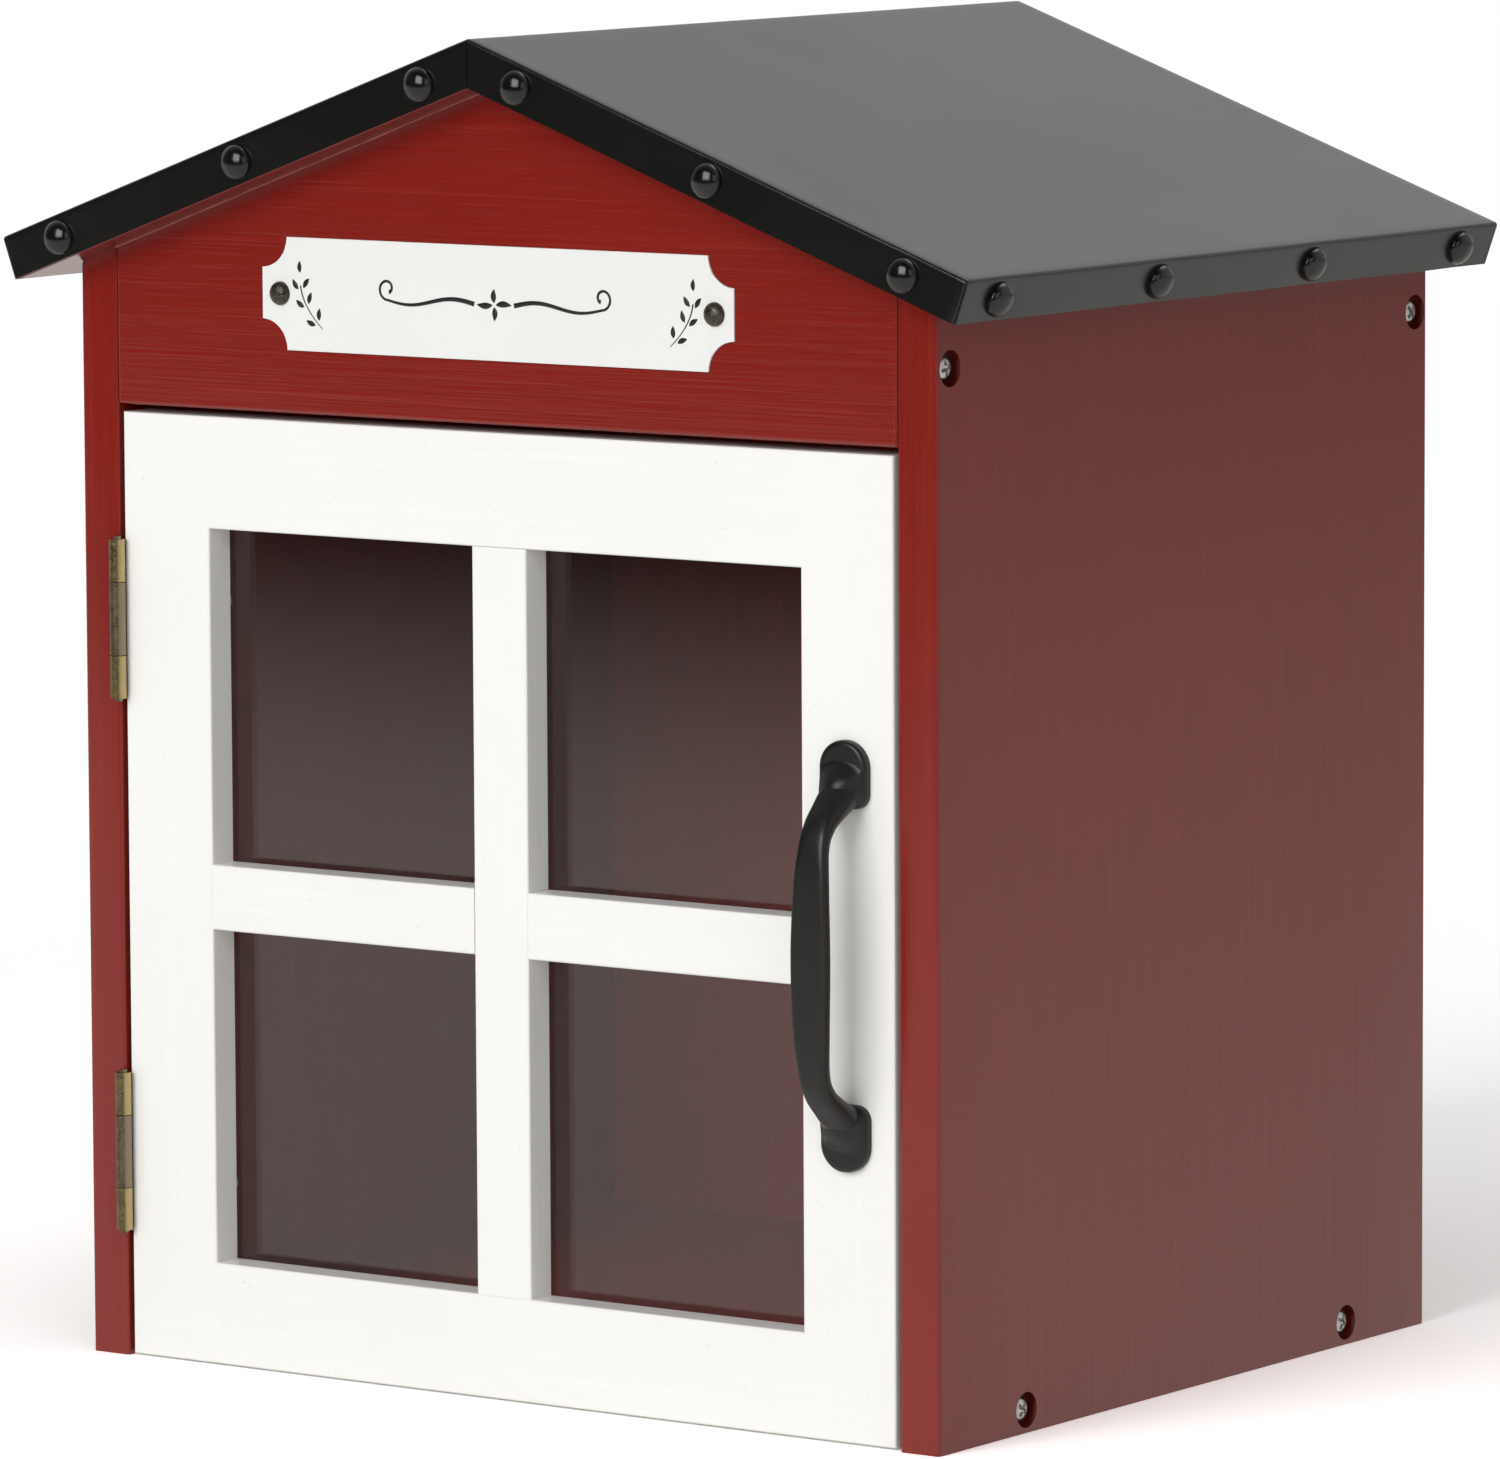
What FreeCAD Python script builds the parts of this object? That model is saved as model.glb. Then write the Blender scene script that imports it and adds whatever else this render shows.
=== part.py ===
"""Street book exchange box: a small painted wood cabinet under a gabled roof.

Two side boards carry a front gable, a back and a bottom. Two roof boards lie on their bevelled
tops under one folded metal sheet with nailed flanges. A glazed door of mitred stiles and rails
hangs on two butt hinges at the left, is pulled by a cast arch handle and held by a magnet catch.

Millimetres. +X is the right-hand side, +Y goes to the back, +Z is up. The origin is the centre
of the cabinet's own base, on the surface that it stands on.
"""
import FreeCAD
import Part
import math
import os
import re
import Sketcher
from FreeCAD import Placement, Rotation, Vector

# Driving dimensions in millimetres, and the roof's slope in degrees.
SIZES = {
    # cabinet
    "box_width": 410,
    "box_depth": 350,
    "board_thickness": 18,
    "arris_radius": 1.5,
    "side_top_radius": 5,
    "screw_inset": 59.5,
    "screw_rise": 30,
    # roof
    "ridge_height": 531.5,
    "side_overhang": 26,
    "roof_slope": 20,
    "front_overhang": 17.5,
    "back_overhang": 13,
    "roof_board_thickness": 15,
    "roof_play": 0.6,
    "sheet_thickness": 0.8,
    "fascia_depth": 17.7,
    "fold_radius": 1.5,
    "seam_width": 0.5,
    "nail_head": 14,
    "nail_dome": 4.6,
    "nail_shank": 2,
    "nail_length": 16,
    "nail_line": 9.2,
    "slope_nail_inset": 27.8,
    "eave_nail_inset": 25.5,
    # gable and sign
    "gable_height": 149.5,
    "sign_width": 226,
    "sign_height": 44.4,
    "sign_thickness": 1,
    "sign_notch": 12,
    "sign_rise": 47,
    "sign_nail_inset": 8.9,
    "sign_nail_head": 9.4,
    "sign_nail_dome": 3.2,
    "sign_nail_shank": 1.6,
    "sign_nail_length": 14,
    # door
    "door_thickness": 18,
    "door_foot_gap": 1,
    "door_head_gap": 3,
    "latch_gap": 2,
    "stop_gap": 1,
    "stile_width": 42.5,
    "top_rail_width": 44.5,
    "bottom_rail_width": 40.6,
    "muntin_width": 26,
    "door_arris": 1,
    "rebate_width": 8,
    "rebate_depth": 4.6,
    "tenon_length": 7,
    "tenon_thickness": 5,
    "joint_play": 0.1,
    "pane_thickness": 3,
    "pane_play": 0.5,
    "pane_screw_inset": 30,
    # hinges
    "hinge_length": 63.5,
    "hinge_inset": 50.5,
    "knuckle_diameter": 6.6,
    "knuckle_proud": 3.2,
    "middle_knuckle": 29.2,
    "knuckle_gap": 0.3,
    "leaf_thickness": 1.15,
    "leaf_play": 0.3,
    "leaf_reach": 18.5,
    "leaf_corner": 2.5,
    "leaf_screw_pitch": 22,
    "hinge_pin_diameter": 3.2,
    "hinge_pin_play": 0.06,
    "hinge_pin_proud": 1.1,
    # handle
    "handle_length": 165,
    "handle_projection": 27,
    "pad_width": 21.4,
    "pad_length": 26,
    "pad_thickness": 4,
    "pad_corner": 6,
    "pad_rim": 0.8,
    "root_width": 15,
    "neck_width": 11.2,
    "neck_thickness": 8,
    "grip_width": 16.4,
    "grip_thickness": 6.2,
    # magnet catch
    "catch_drop": 62,
    "catch_length": 46,
    "catch_body": 28,
    "catch_width": 15,
    "catch_depth": 14,
    "catch_ear": 3,
    "catch_gap": 0.4,
    "catch_wall": 3,
    "catch_floor": 2,
    "catch_corner": 1.2,
    "pole_thickness": 1.5,
    "pole_proud": 0.8,
    "strike_length": 30,
    "strike_width": 11,
    "strike_thickness": 1.2,
    "strike_corner": 2,
    "strike_screw_inset": 5,
    # screws: head, shank and length of each kind
    "wood_screw_head": 9.4,
    "wood_screw_rise": 3,
    "wood_screw_shank": 4.2,
    "wood_screw_length": 40,
    "counterbore": 14,
    "counterbore_depth": 4.6,
    "roof_screw_head": 8,
    "hinge_screw_head": 4.8,
    "hinge_screw_shank": 2.8,
    "hinge_screw_length": 14,
    "pane_screw_head": 5.6,
    "pane_screw_rise": 1.8,
    "pane_screw_shank": 2.4,
    "pane_screw_length": 11,
    "handle_screw_head": 8,
    "handle_screw_rise": 2.7,
    "handle_screw_shank": 4,
    "handle_screw_depth": 7,
    "screw_play": 0.1,
}

doc = FreeCAD.newDocument("book_exchange_box")
sheet = doc.addObject("Spreadsheet::Sheet", "Sizes")
for row, (name, size) in enumerate(SIZES.items(), 1):
    sheet.set(f"A{row}", name)
    sheet.set(f"B{row}", str(size))
    sheet.setAlias(f"B{row}", name)
doc.recompute()

# Lengths worked out from the driving dimensions, as text that goes into expressions.
HALF = "(box_width / 2)"
INNER = "(box_width / 2 - board_thickness)"
FRONT = "(-box_depth / 2)"
BACK = "(box_depth / 2)"
SLOPE = "(roof_slope * 1 deg)"
BOARD_TOP = "(sheet_thickness + roof_play)"
SOFFIT = f"({BOARD_TOP} + roof_board_thickness)"
EAVE = f"((box_width / 2 + side_overhang) / cos({SLOPE}))"
ROOF_FRONT = f"({FRONT} - front_overhang)"
ROOF_BACK = f"({BACK} + back_overhang)"
BOARD_END = f"({EAVE} - {BOARD_TOP})"

HINGE_GAP = "(2 * leaf_thickness + leaf_play)"
DOOR_LEFT = f"(-{INNER} + {HINGE_GAP})"
DOOR_RIGHT = f"({INNER} - latch_gap)"
DOOR_BOTTOM = "door_foot_gap"
GABLE_BOTTOM = "(ridge_height - gable_height)"
DOOR_TOP = f"({GABLE_BOTTOM} - door_head_gap)"
DOOR_BACK = f"({FRONT} + door_thickness)"
REBATE_FLOOR = f"({DOOR_BACK} - rebate_depth)"
GLASS_LEFT = f"({DOOR_LEFT} + stile_width)"
GLASS_RIGHT = f"({DOOR_RIGHT} - stile_width)"
GLASS_BOTTOM = f"({DOOR_BOTTOM} + bottom_rail_width)"
GLASS_TOP = f"({DOOR_TOP} - top_rail_width)"
GLASS_X = f"(({GLASS_LEFT} + {GLASS_RIGHT}) / 2)"
GLASS_Z = f"(({GLASS_BOTTOM} + {GLASS_TOP}) / 2)"
SIGN_Z = f"({GABLE_BOTTOM} + sign_rise)"
SCREW_Z = f"({GABLE_BOTTOM} + screw_rise)"
STILE_X = f"({DOOR_RIGHT} - stile_width / 2)"

HINGE_X = f"(-{INNER} + leaf_thickness + leaf_play / 2)"
HINGE_Y = f"({FRONT} - knuckle_proud)"
HINGE_Z = {
    "upper": f"({DOOR_TOP} - hinge_inset - hinge_length / 2)",
    "lower": f"({DOOR_BOTTOM} + hinge_inset + hinge_length / 2)",
}
LEAF_SCREW_Y = "(knuckle_proud + door_thickness / 2)"
LEAF_SCREW_Z = ["-leaf_screw_pitch", "0", "leaf_screw_pitch"]

CATCH_Z = f"({DOOR_TOP} - catch_drop)"
CATCH_FRONT = f"({DOOR_BACK} + strike_thickness + catch_gap + pole_proud)"
CATCH_X = f"({INNER} - catch_width / 2)"
CATCH_SCREW_Z = "((catch_length + catch_body) / 4)"
CATCH_SCREW_Y = f"({CATCH_FRONT} + catch_depth - catch_depth / 3)"

WOOD_PILOT = "(wood_screw_shank + 2 * screw_play)"
SMALL_PILOT = "(hinge_screw_shank + 2 * screw_play)"
NAIL_PILOT = "(nail_shank + 4 * screw_play)"
HINGE_SINK = "((hinge_screw_head - hinge_screw_shank) / 2 + 0.5 * screw_play)"
ROOT_HEIGHT = "(handle_length / 2 - pad_length + pad_rim + root_width / 2)"

# Sides, and where what repeats goes.
SIDES = ((1, "right"), (-1, "left"))
SIDE_SCREWS = [
    (f"({FRONT} + board_thickness / 2)", SCREW_Z),
    (f"({BACK} - board_thickness / 2)", SCREW_Z),
    (f"({FRONT} + screw_inset)", "board_thickness / 2"),
    (f"({BACK} - screw_inset)", "board_thickness / 2"),
]
BACK_SCREW_X = [f"(screw_inset - {HALF})", f"({HALF} - screw_inset)"]
ROOF_SCREW_RUNS = ["(box_width * 0.15)", "(box_width * 0.38)"]
ROOF_SCREW_Y = [f"({FRONT} + board_thickness / 2)", f"({BACK} - board_thickness / 2)"]
SLOPE_NAIL_RUNS = ["slope_nail_inset", f"({EAVE} / 2)", f"({EAVE} - slope_nail_inset)"]
EAVE_NAIL_STEP = f"(({ROOF_BACK} - {ROOF_FRONT} - 2 * eave_nail_inset) / 3)"
EAVE_NAIL_Y = [f"({ROOF_FRONT} + eave_nail_inset + {i} * {EAVE_NAIL_STEP})" for i in range(4)]
SIGN_NAIL_X = "(sign_width / 2 - sign_nail_inset)"
TENON_FRONT = f"(({REBATE_FLOOR} - {FRONT} - tenon_thickness) / 2)"
POLE_HALF = "(catch_width / 2 - catch_wall)"
POLE_BOTTOM = f"({CATCH_Z} - catch_body / 2 + catch_wall)"
POLE_HEIGHT = "(catch_body - 2 * catch_wall)"
STRIKE_SCREW_Z = "(strike_length / 2 - strike_screw_inset)"
FRAME_MEMBERS = ["door_stile_left", "door_stile_right", "door_rail_bottom", "door_rail_top"]

FACING_RIGHT = ((0, 1, 0), "90")
FACING_LEFT = ((0, 1, 0), "-90")
FACING_FRONT = ((1, 0, 0), "90")
FACING_BACK = ((1, 0, 0), "-90")


def bound(text):
    """Turn names of sizes in a formula into references to the sheet's cells."""
    return re.sub(r"[a-z_]+", lambda word: "Sizes." + word[0] if word[0] in SIZES else word[0], text)


def number(text):
    """The present value of a formula."""
    value = sheet.evalExpression(bound(text))
    return float(getattr(value, "Value", value))


def soffit(x):
    """Height of the roof boards' underside at the distance x from the middle."""
    return f"(ridge_height - ({x}) * tan({SLOPE}) - {SOFFIT} / cos({SLOPE}))"


def on_slope(run, depth):
    """Point at a run down the right-hand slope from the ridge and a depth below its surface."""
    x = f"(({run}) * cos({SLOPE}) - ({depth}) * sin({SLOPE}))"
    z = f"(ridge_height - ({run}) * sin({SLOPE}) - ({depth}) * cos({SLOPE}))"
    return x, z


def new_body(label):
    body = doc.addObject("PartDesign::Body", label)
    body.Label = label
    return body


def place(thing, x="0", y="0", z="0", axis=(0, 0, 1), angle="0"):
    """Give a body or a copy its place, with each number tied to the sheet."""
    spot = Vector(number(x), number(y), number(z))
    thing.Placement = Placement(spot, Rotation(Vector(*axis), number(angle)))
    for name, text in (("x", x), ("y", y), ("z", z)):
        thing.setExpression(f"Placement.Base.{name}", bound(text))
    if number(angle):
        thing.setExpression("Placement.Rotation.Angle", bound(f"({angle}) * 1 deg"))


def new_sketch(body, name, role, offset="0", spot=None, axis=None, angle="0"):
    """A sketch on one of the body's own planes, moved along its normal or to a tilted spot."""
    sketch = body.newObject("Sketcher::SketchObject", name)
    plane = next(feature for feature in body.Origin.OriginFeatures if feature.Role == role)
    sketch.AttachmentSupport = [(plane, "")]
    sketch.MapMode = "FlatFace"
    if spot is None:
        sketch.setExpression("AttachmentOffset.Base.z", bound(offset))
        return sketch
    base = Vector(*(number(text) for text in spot))
    sketch.AttachmentOffset = Placement(base, Rotation(Vector(*axis), number(angle)))
    for name, text in zip("xyz", spot):
        sketch.setExpression(f"AttachmentOffset.Base.{name}", bound(text))
    sketch.setExpression("AttachmentOffset.Rotation.Angle", bound(f"({angle}) * 1 deg"))
    return sketch


def fix(sketch, kind, ends, text):
    """A dimension between two points of a sketch, or of one curve, tied to the sheet."""
    index = sketch.addConstraint(Sketcher.Constraint(kind, *ends, number(text)))
    sketch.setExpression(f"Constraints[{index}]", bound(text))


def polygon(sketch, corners):
    """A closed outline through the corners, each fixed from the sketch's origin."""
    first = sketch.GeometryCount
    count = len(corners)
    spots = [Vector(number(x), number(y), 0) for x, y in corners]
    for i in range(count):
        sketch.addGeometry(Part.LineSegment(spots[i], spots[(i + 1) % count]))
    for i, (x, y) in enumerate(corners):
        following = first + (i + 1) % count
        sketch.addConstraint(Sketcher.Constraint("Coincident", first + i, 2, following, 1))
        fix(sketch, "DistanceX", (-1, 1, first + i, 1), x)
        fix(sketch, "DistanceY", (-1, 1, first + i, 1), y)


def rectangle(sketch, x0, y0, x1, y1):
    polygon(sketch, [(x0, y0), (x1, y0), (x1, y1), (x0, y1)])


def circle(sketch, x, y, diameter):
    centre = Vector(number(x), number(y), 0)
    index = sketch.addGeometry(Part.Circle(centre, Vector(0, 0, 1), number(diameter) / 2))
    fix(sketch, "DistanceX", (-1, 1, index, 3), x)
    fix(sketch, "DistanceY", (-1, 1, index, 3), y)
    fix(sketch, "Diameter", (index,), diameter)


def ring(sketch, x, y, diameter, sides=6):
    """A regular outline with flat sides, which keeps light what repeats.

    Shanks and their holes stay out of sight and have six sides, small bores and knuckles have
    more. On a plane that faces left or right the outline starts a quarter turn on, as a
    fastener laid over to fit does, so that the flats of a shank and of its hole stay parallel.
    """
    turn = 90 if sketch.AttachmentSupport[0][0].Role == "YZ_Plane" else 0
    angles = [turn + i * 360 / sides for i in range(sides)]
    polygon(sketch, [(f"{x} + {diameter} / 2 * cos({angle} * 1 deg)",
                      f"{y} + {diameter} / 2 * sin({angle} * 1 deg)") for angle in angles])


def feature(body, kind, name, profile):
    made = body.newObject("PartDesign::" + kind, name)
    made.Profile = profile
    profile.Visibility = False
    return made


def pad(body, profile, length, symmetric=False, backwards=False):
    made = feature(body, "Pad", profile.Name + "_pad", profile)
    made.SideType = "Symmetric" if symmetric else "One side"
    made.Reversed = backwards
    made.setExpression("Length", bound(length))
    doc.recompute()
    return made


def removed(body, made, before):
    """Stop if a cut took nothing away, as one does that points out of the solid."""
    doc.recompute()
    if not made.isValid() or made.Shape.Volume > before - 1e-3:
        raise RuntimeError(f"{body.Label}: {made.Name} cuts nothing")
    return made


def pocket(body, profile, length=None, symmetric=False, backwards=False):
    """A cut of the given length, or right through when no length is given."""
    before = body.Shape.Volume
    made = feature(body, "Pocket", profile.Name + "_cut", profile)
    made.SideType = "Symmetric" if symmetric else "One side"
    made.Reversed = backwards
    if length is None:
        made.Type = "ThroughAll"
    else:
        made.setExpression("Length", bound(length))
    return removed(body, made, before)


def counterbore(body, name, role, offset, spots, backwards=False):
    """Screw holes with a round bore for each head."""
    bores = new_sketch(body, f"{body.Label}_{name}_bores", role, offset)
    holes = new_sketch(body, f"{body.Label}_{name}_holes", role, offset)
    for x, y in spots:
        ring(bores, x, y, "counterbore", 24)
        ring(holes, x, y, WOOD_PILOT)
    pocket(body, bores, "counterbore_depth", backwards=backwards)
    pocket(body, holes, backwards=backwards)


def round_edges(body, radius, chosen, kind="Fillet"):
    """Round or chamfer the edges of the body's last feature that the test picks."""
    base = body.Tip
    names = [f"Edge{i}" for i, edge in enumerate(base.Shape.Edges, 1) if chosen(edge)]
    if not names:
        raise RuntimeError(f"{body.Label}: no edge to round")
    made = body.newObject("PartDesign::" + kind, f"{body.Label}_{kind}_{len(body.Group)}")
    made.Base = (base, names)
    made.setExpression("Radius" if kind == "Fillet" else "Size", bound(radius))
    doc.recompute()
    return made


def middle(edge):
    return edge.valueAt((edge.FirstParameter + edge.LastParameter) / 2)


def runs_along(edge, axis):
    ends = edge.Vertexes
    if len(ends) != 2 or edge.Curve.TypeId != "Part::GeomLine":
        return False
    way = ends[1].Point - ends[0].Point
    return abs(way.normalize().dot(axis)) > 0.9999


def near(a, b):
    return abs(a - b) < 1e-4


def copies(label, master, spots):
    """One sub-part made of a master piece repeated at several spots."""
    links = []
    for i, spot in enumerate(spots, 1):
        link = doc.addObject("App::Link", f"{label}_{i}")
        link.LinkedObject = master
        place(link, *spot)
        links.append(link)
    group = doc.addObject("Part::Compound", label)
    group.Label = label
    group.Links = links
    return group


X_AXIS, Y_AXIS, Z_AXIS = Vector(1, 0, 0), Vector(0, 1, 0), Vector(0, 0, 1)
parts = []


# Fasteners, each drawn with its seat at z = 0, its head above and its shank below. Threads and
# drives are left out.

def head(body, diameter, height, sides, top="0"):
    outline = new_sketch(body, body.Label + "_head", "XY_Plane", top)
    ring(outline, "0", "0", diameter, sides)
    pad(body, outline, height)


def shank(body, diameter, length, top="0"):
    outline = new_sketch(body, body.Label + "_shank", "XY_Plane", top)
    ring(outline, "0", "0", diameter)
    pad(body, outline, length, backwards=True)


def pan_screw(label, diameter, rise, width, length):
    """A pan-head screw: a head with its upper edge cut on a straight shank."""
    body = new_body(label)
    head(body, diameter, rise, 8)
    top = number(rise)
    round_edges(body, f"{rise} * 0.4", lambda edge: near(middle(edge).z, top), "Chamfer")
    shank(body, width, length)
    return body


def flat_screw(label, diameter, width, length):
    """A countersunk screw, whose flat head ends at z = 0."""
    body = new_body(label)
    sink = f"(({diameter} - {width}) / 2)"
    low = f"(-{sink} - 0.1)"
    head(body, diameter, f"{sink} + 0.1", 6, low)
    bottom = number(low)
    round_edges(body, f"{sink} * 0.96", lambda edge: near(middle(edge).z, bottom), "Chamfer")
    shank(body, width, f"{length} + {low}", low)
    return body


def dome_nail(label, diameter, dome, width, length):
    """A nail whose domed head is cut in two steps over a short straight rim."""
    body = new_body(label)
    head(body, diameter, dome, 8)
    top = number(dome)
    for share in (0.7, 0.24):
        round_edges(body, f"{dome} * {share}", lambda edge: near(middle(edge).z, top), "Chamfer")
    shank(body, width, length)
    return body


def hole_edges(diameter, axis, height):
    """Picks the edges of six-sided holes of a diameter where they meet a face."""
    length = number(diameter) / 2
    return lambda edge: near(edge.Length, length) and near(getattr(middle(edge), axis), height)


# Cabinet

def side_panel(label, side):
    """A side board with a top bevelled to the slope, rounded outside, and counterbored holes."""
    body = new_body(label)
    outer, inner = f"({side} * {HALF})", f"({side} * {INNER})"
    section = new_sketch(body, label + "_section", "XZ_Plane")
    polygon(section, [(outer, "0"), (outer, soffit(HALF)), (inner, soffit(INNER)), (inner, "0")])
    pad(body, section, "box_depth", symmetric=True)
    eave_x, eave_z = number(outer), number(soffit(HALF))
    round_edges(body, "side_top_radius", lambda edge: runs_along(edge, Y_AXIS)
                and near(middle(edge).x, eave_x) and near(middle(edge).z, eave_z))
    round_edges(body, "arris_radius", lambda edge: runs_along(edge, Z_AXIS))
    counterbore(body, "side", "YZ_Plane", outer, SIDE_SCREWS, backwards=side < 0)
    pilots = new_sketch(body, label + "_pilots", "YZ_Plane", inner)
    if side < 0:
        for hinge_z in HINGE_Z.values():
            for z in LEAF_SCREW_Z:
                ring(pilots, f"{HINGE_Y} + {LEAF_SCREW_Y}", f"{hinge_z} + {z}", SMALL_PILOT)
    else:
        for way in ("-", "+"):
            ring(pilots, CATCH_SCREW_Y, f"{CATCH_Z} {way} {CATCH_SCREW_Z}", SMALL_PILOT)
    pocket(body, pilots, "hinge_screw_length", backwards=side > 0)
    parts.append(body)


def gable_outline(sketch, bottom):
    """The outline of a board between the sides, up to the roof boards."""
    corners = [
        (f"-{INNER}", bottom),
        (INNER, bottom),
        (INNER, soffit(INNER)),
        ("0", soffit("0")),
        (f"-{INNER}", soffit(INNER)),
    ]
    polygon(sketch, corners)


def end_pilots(body, spots):
    """Pilot holes for the side screws in both ends of a board between the sides."""
    for name, x, backwards in (("left", f"-{INNER}", True), ("right", INNER, False)):
        ends = new_sketch(body, f"{body.Label}_{name}_pilots", "YZ_Plane", x)
        for y, z in spots:
            ring(ends, y, z, WOOD_PILOT)
        pocket(body, ends, "wood_screw_length - board_thickness + counterbore_depth + 1",
               backwards=backwards)


def slope_pilots(body, y):
    """Pilot holes for the roof board screws, square to both slopes."""
    for name, sign in (("right", 1), ("left", -1)):
        for i, run in enumerate(ROOF_SCREW_RUNS):
            x, z = on_slope(run, SOFFIT)
            hole = new_sketch(body, f"{body.Label}_{name}_roof_pilot_{i}", "XY_Plane",
                              spot=(f"({sign}) * {x}", y, z), axis=(0, 1, 0),
                              angle=f"({sign}) * roof_slope")
            ring(hole, "0", "0", WOOD_PILOT)
            pocket(body, hole, "wood_screw_length - roof_board_thickness + 1")


def gable_front():
    """The board over the door, with its lower front edge and its front ends rounded."""
    body = new_body("gable_front")
    outline = new_sketch(body, "gable_front_outline", "XZ_Plane", f"-{FRONT}")
    gable_outline(outline, GABLE_BOTTOM)
    pad(body, outline, "board_thickness", backwards=True)
    low, face = number(GABLE_BOTTOM), number(FRONT)
    round_edges(body, "arris_radius", lambda edge: near(middle(edge).y, face)
                and (runs_along(edge, Z_AXIS) or near(middle(edge).z, low)))
    end_pilots(body, [(f"{FRONT} + board_thickness / 2", SCREW_Z)])
    slope_pilots(body, f"{FRONT} + board_thickness / 2")
    nails = new_sketch(body, "gable_front_nails", "XZ_Plane", f"-{FRONT}")
    for sign in ("-", ""):
        ring(nails, f"{sign}{SIGN_NAIL_X}", SIGN_Z, "(sign_nail_shank + 2 * screw_play)")
    pocket(body, nails, "sign_nail_length")
    parts.append(body)


def back_panel():
    """The whole back, screwed at the sides and, low down, into the bottom board."""
    body = new_body("back_panel")
    outline = new_sketch(body, "back_panel_outline", "XZ_Plane", f"-{BACK}")
    gable_outline(outline, "0")
    pad(body, outline, "board_thickness")
    end_pilots(body, [(f"{BACK} - board_thickness / 2", SCREW_Z)])
    slope_pilots(body, f"{BACK} - board_thickness / 2")
    counterbore(body, "low", "XZ_Plane", f"-{BACK}",
                [(x, "(board_thickness / 2)") for x in BACK_SCREW_X], backwards=True)
    parts.append(body)


def bottom_panel():
    """The bottom board, which stops short of the front so that the door shuts before it."""
    body = new_body("bottom_panel")
    outline = new_sketch(body, "bottom_panel_outline", "XY_Plane")
    rectangle(outline, f"-{INNER}", f"{DOOR_BACK} + stop_gap", INNER, f"{BACK} - board_thickness")
    pad(body, outline, "board_thickness")
    end_pilots(body, SIDE_SCREWS[2:])
    rear = new_sketch(body, "bottom_panel_rear_pilots", "XZ_Plane", f"board_thickness - {BACK}")
    for x in BACK_SCREW_X:
        ring(rear, x, "board_thickness / 2", WOOD_PILOT)
    pocket(body, rear, "wood_screw_length - board_thickness + counterbore_depth + 1",
           backwards=True)
    parts.append(body)


# Roof

def roof_board(label, side):
    """A roof board drawn flat, with x running down its slope, then tilted about the ridge."""
    body = new_body(label)
    front, back = f"({ROOF_FRONT} + {BOARD_TOP})", f"({ROOF_BACK} - {BOARD_TOP})"
    section = new_sketch(body, label + "_section", "XZ_Plane", f"-{front}")
    corners = [
        (f"{side} * {BOARD_TOP} * tan({SLOPE})", f"-{BOARD_TOP}"),
        (f"{side} * {BOARD_END}", f"-{BOARD_TOP}"),
        (f"{side} * {BOARD_END}", f"-{SOFFIT}"),
        (f"{side} * {SOFFIT} * tan({SLOPE})", f"-{SOFFIT}"),
    ]
    polygon(section, corners)
    pad(body, section, f"{back} - {front}", backwards=True)
    screws = new_sketch(body, label + "_screws", "XY_Plane", f"-{BOARD_TOP}")
    for run in ROOF_SCREW_RUNS:
        for y in ROOF_SCREW_Y:
            ring(screws, f"{side} * {run}", y, WOOD_PILOT)
    pocket(body, screws)
    round_edges(body, "(roof_screw_head - wood_screw_shank) / 2 + screw_play",
                hole_edges(WOOD_PILOT, "z", -number(BOARD_TOP)), "Chamfer")
    for name, y, backwards in (("front", front, False), ("rear", back, True)):
        nails = new_sketch(body, f"{label}_{name}_nails", "XZ_Plane", f"-{y}")
        for run in SLOPE_NAIL_RUNS:
            ring(nails, f"{side} * {run}", "-nail_line", NAIL_PILOT)
        pocket(body, nails, "nail_length", backwards=backwards)
    nails = new_sketch(body, label + "_eave_nails", "YZ_Plane", f"{side} * {BOARD_END}")
    for y in EAVE_NAIL_Y:
        ring(nails, y, "-nail_line", NAIL_PILOT)
    pocket(body, nails, "nail_length", backwards=side < 0)
    place(body, z="ridge_height", axis=(0, 1, 0), angle=f"{side} * roof_slope")
    parts.append(body)


def sheet_solid(body, inset):
    """The sheet's outline as a solid chevron, drawn in all round by an inset."""
    front, back = f"({ROOF_FRONT} + {inset})", f"({ROOF_BACK} - {inset})"
    section = new_sketch(body, body.Label + "_section", "XZ_Plane", f"-{front}")
    eave_x, eave_z = on_slope(f"{EAVE} - {inset}", inset)
    low_x, low_z = on_slope(f"{EAVE} - {inset}", f"fascia_depth + 2 * {inset}")
    corners = [
        ("0", f"ridge_height - {inset} / cos({SLOPE})"),
        (eave_x, eave_z),
        (low_x, low_z),
        ("0", f"ridge_height - (fascia_depth + 2 * {inset}) / cos({SLOPE})"),
        (f"-{low_x}", low_z),
        (f"-{eave_x}", eave_z),
    ]
    polygon(section, corners)
    pad(body, section, f"{back} - {front}", backwards=True)
    slope = math.tan(math.radians(number("roof_slope")))
    top = number(corners[0][1])

    def on_top(edge):
        spot = middle(edge)
        return abs(spot.z - top + abs(spot.x) * slope) < 1e-3

    round_edges(body, f"fold_radius - {inset}", on_top)


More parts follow.
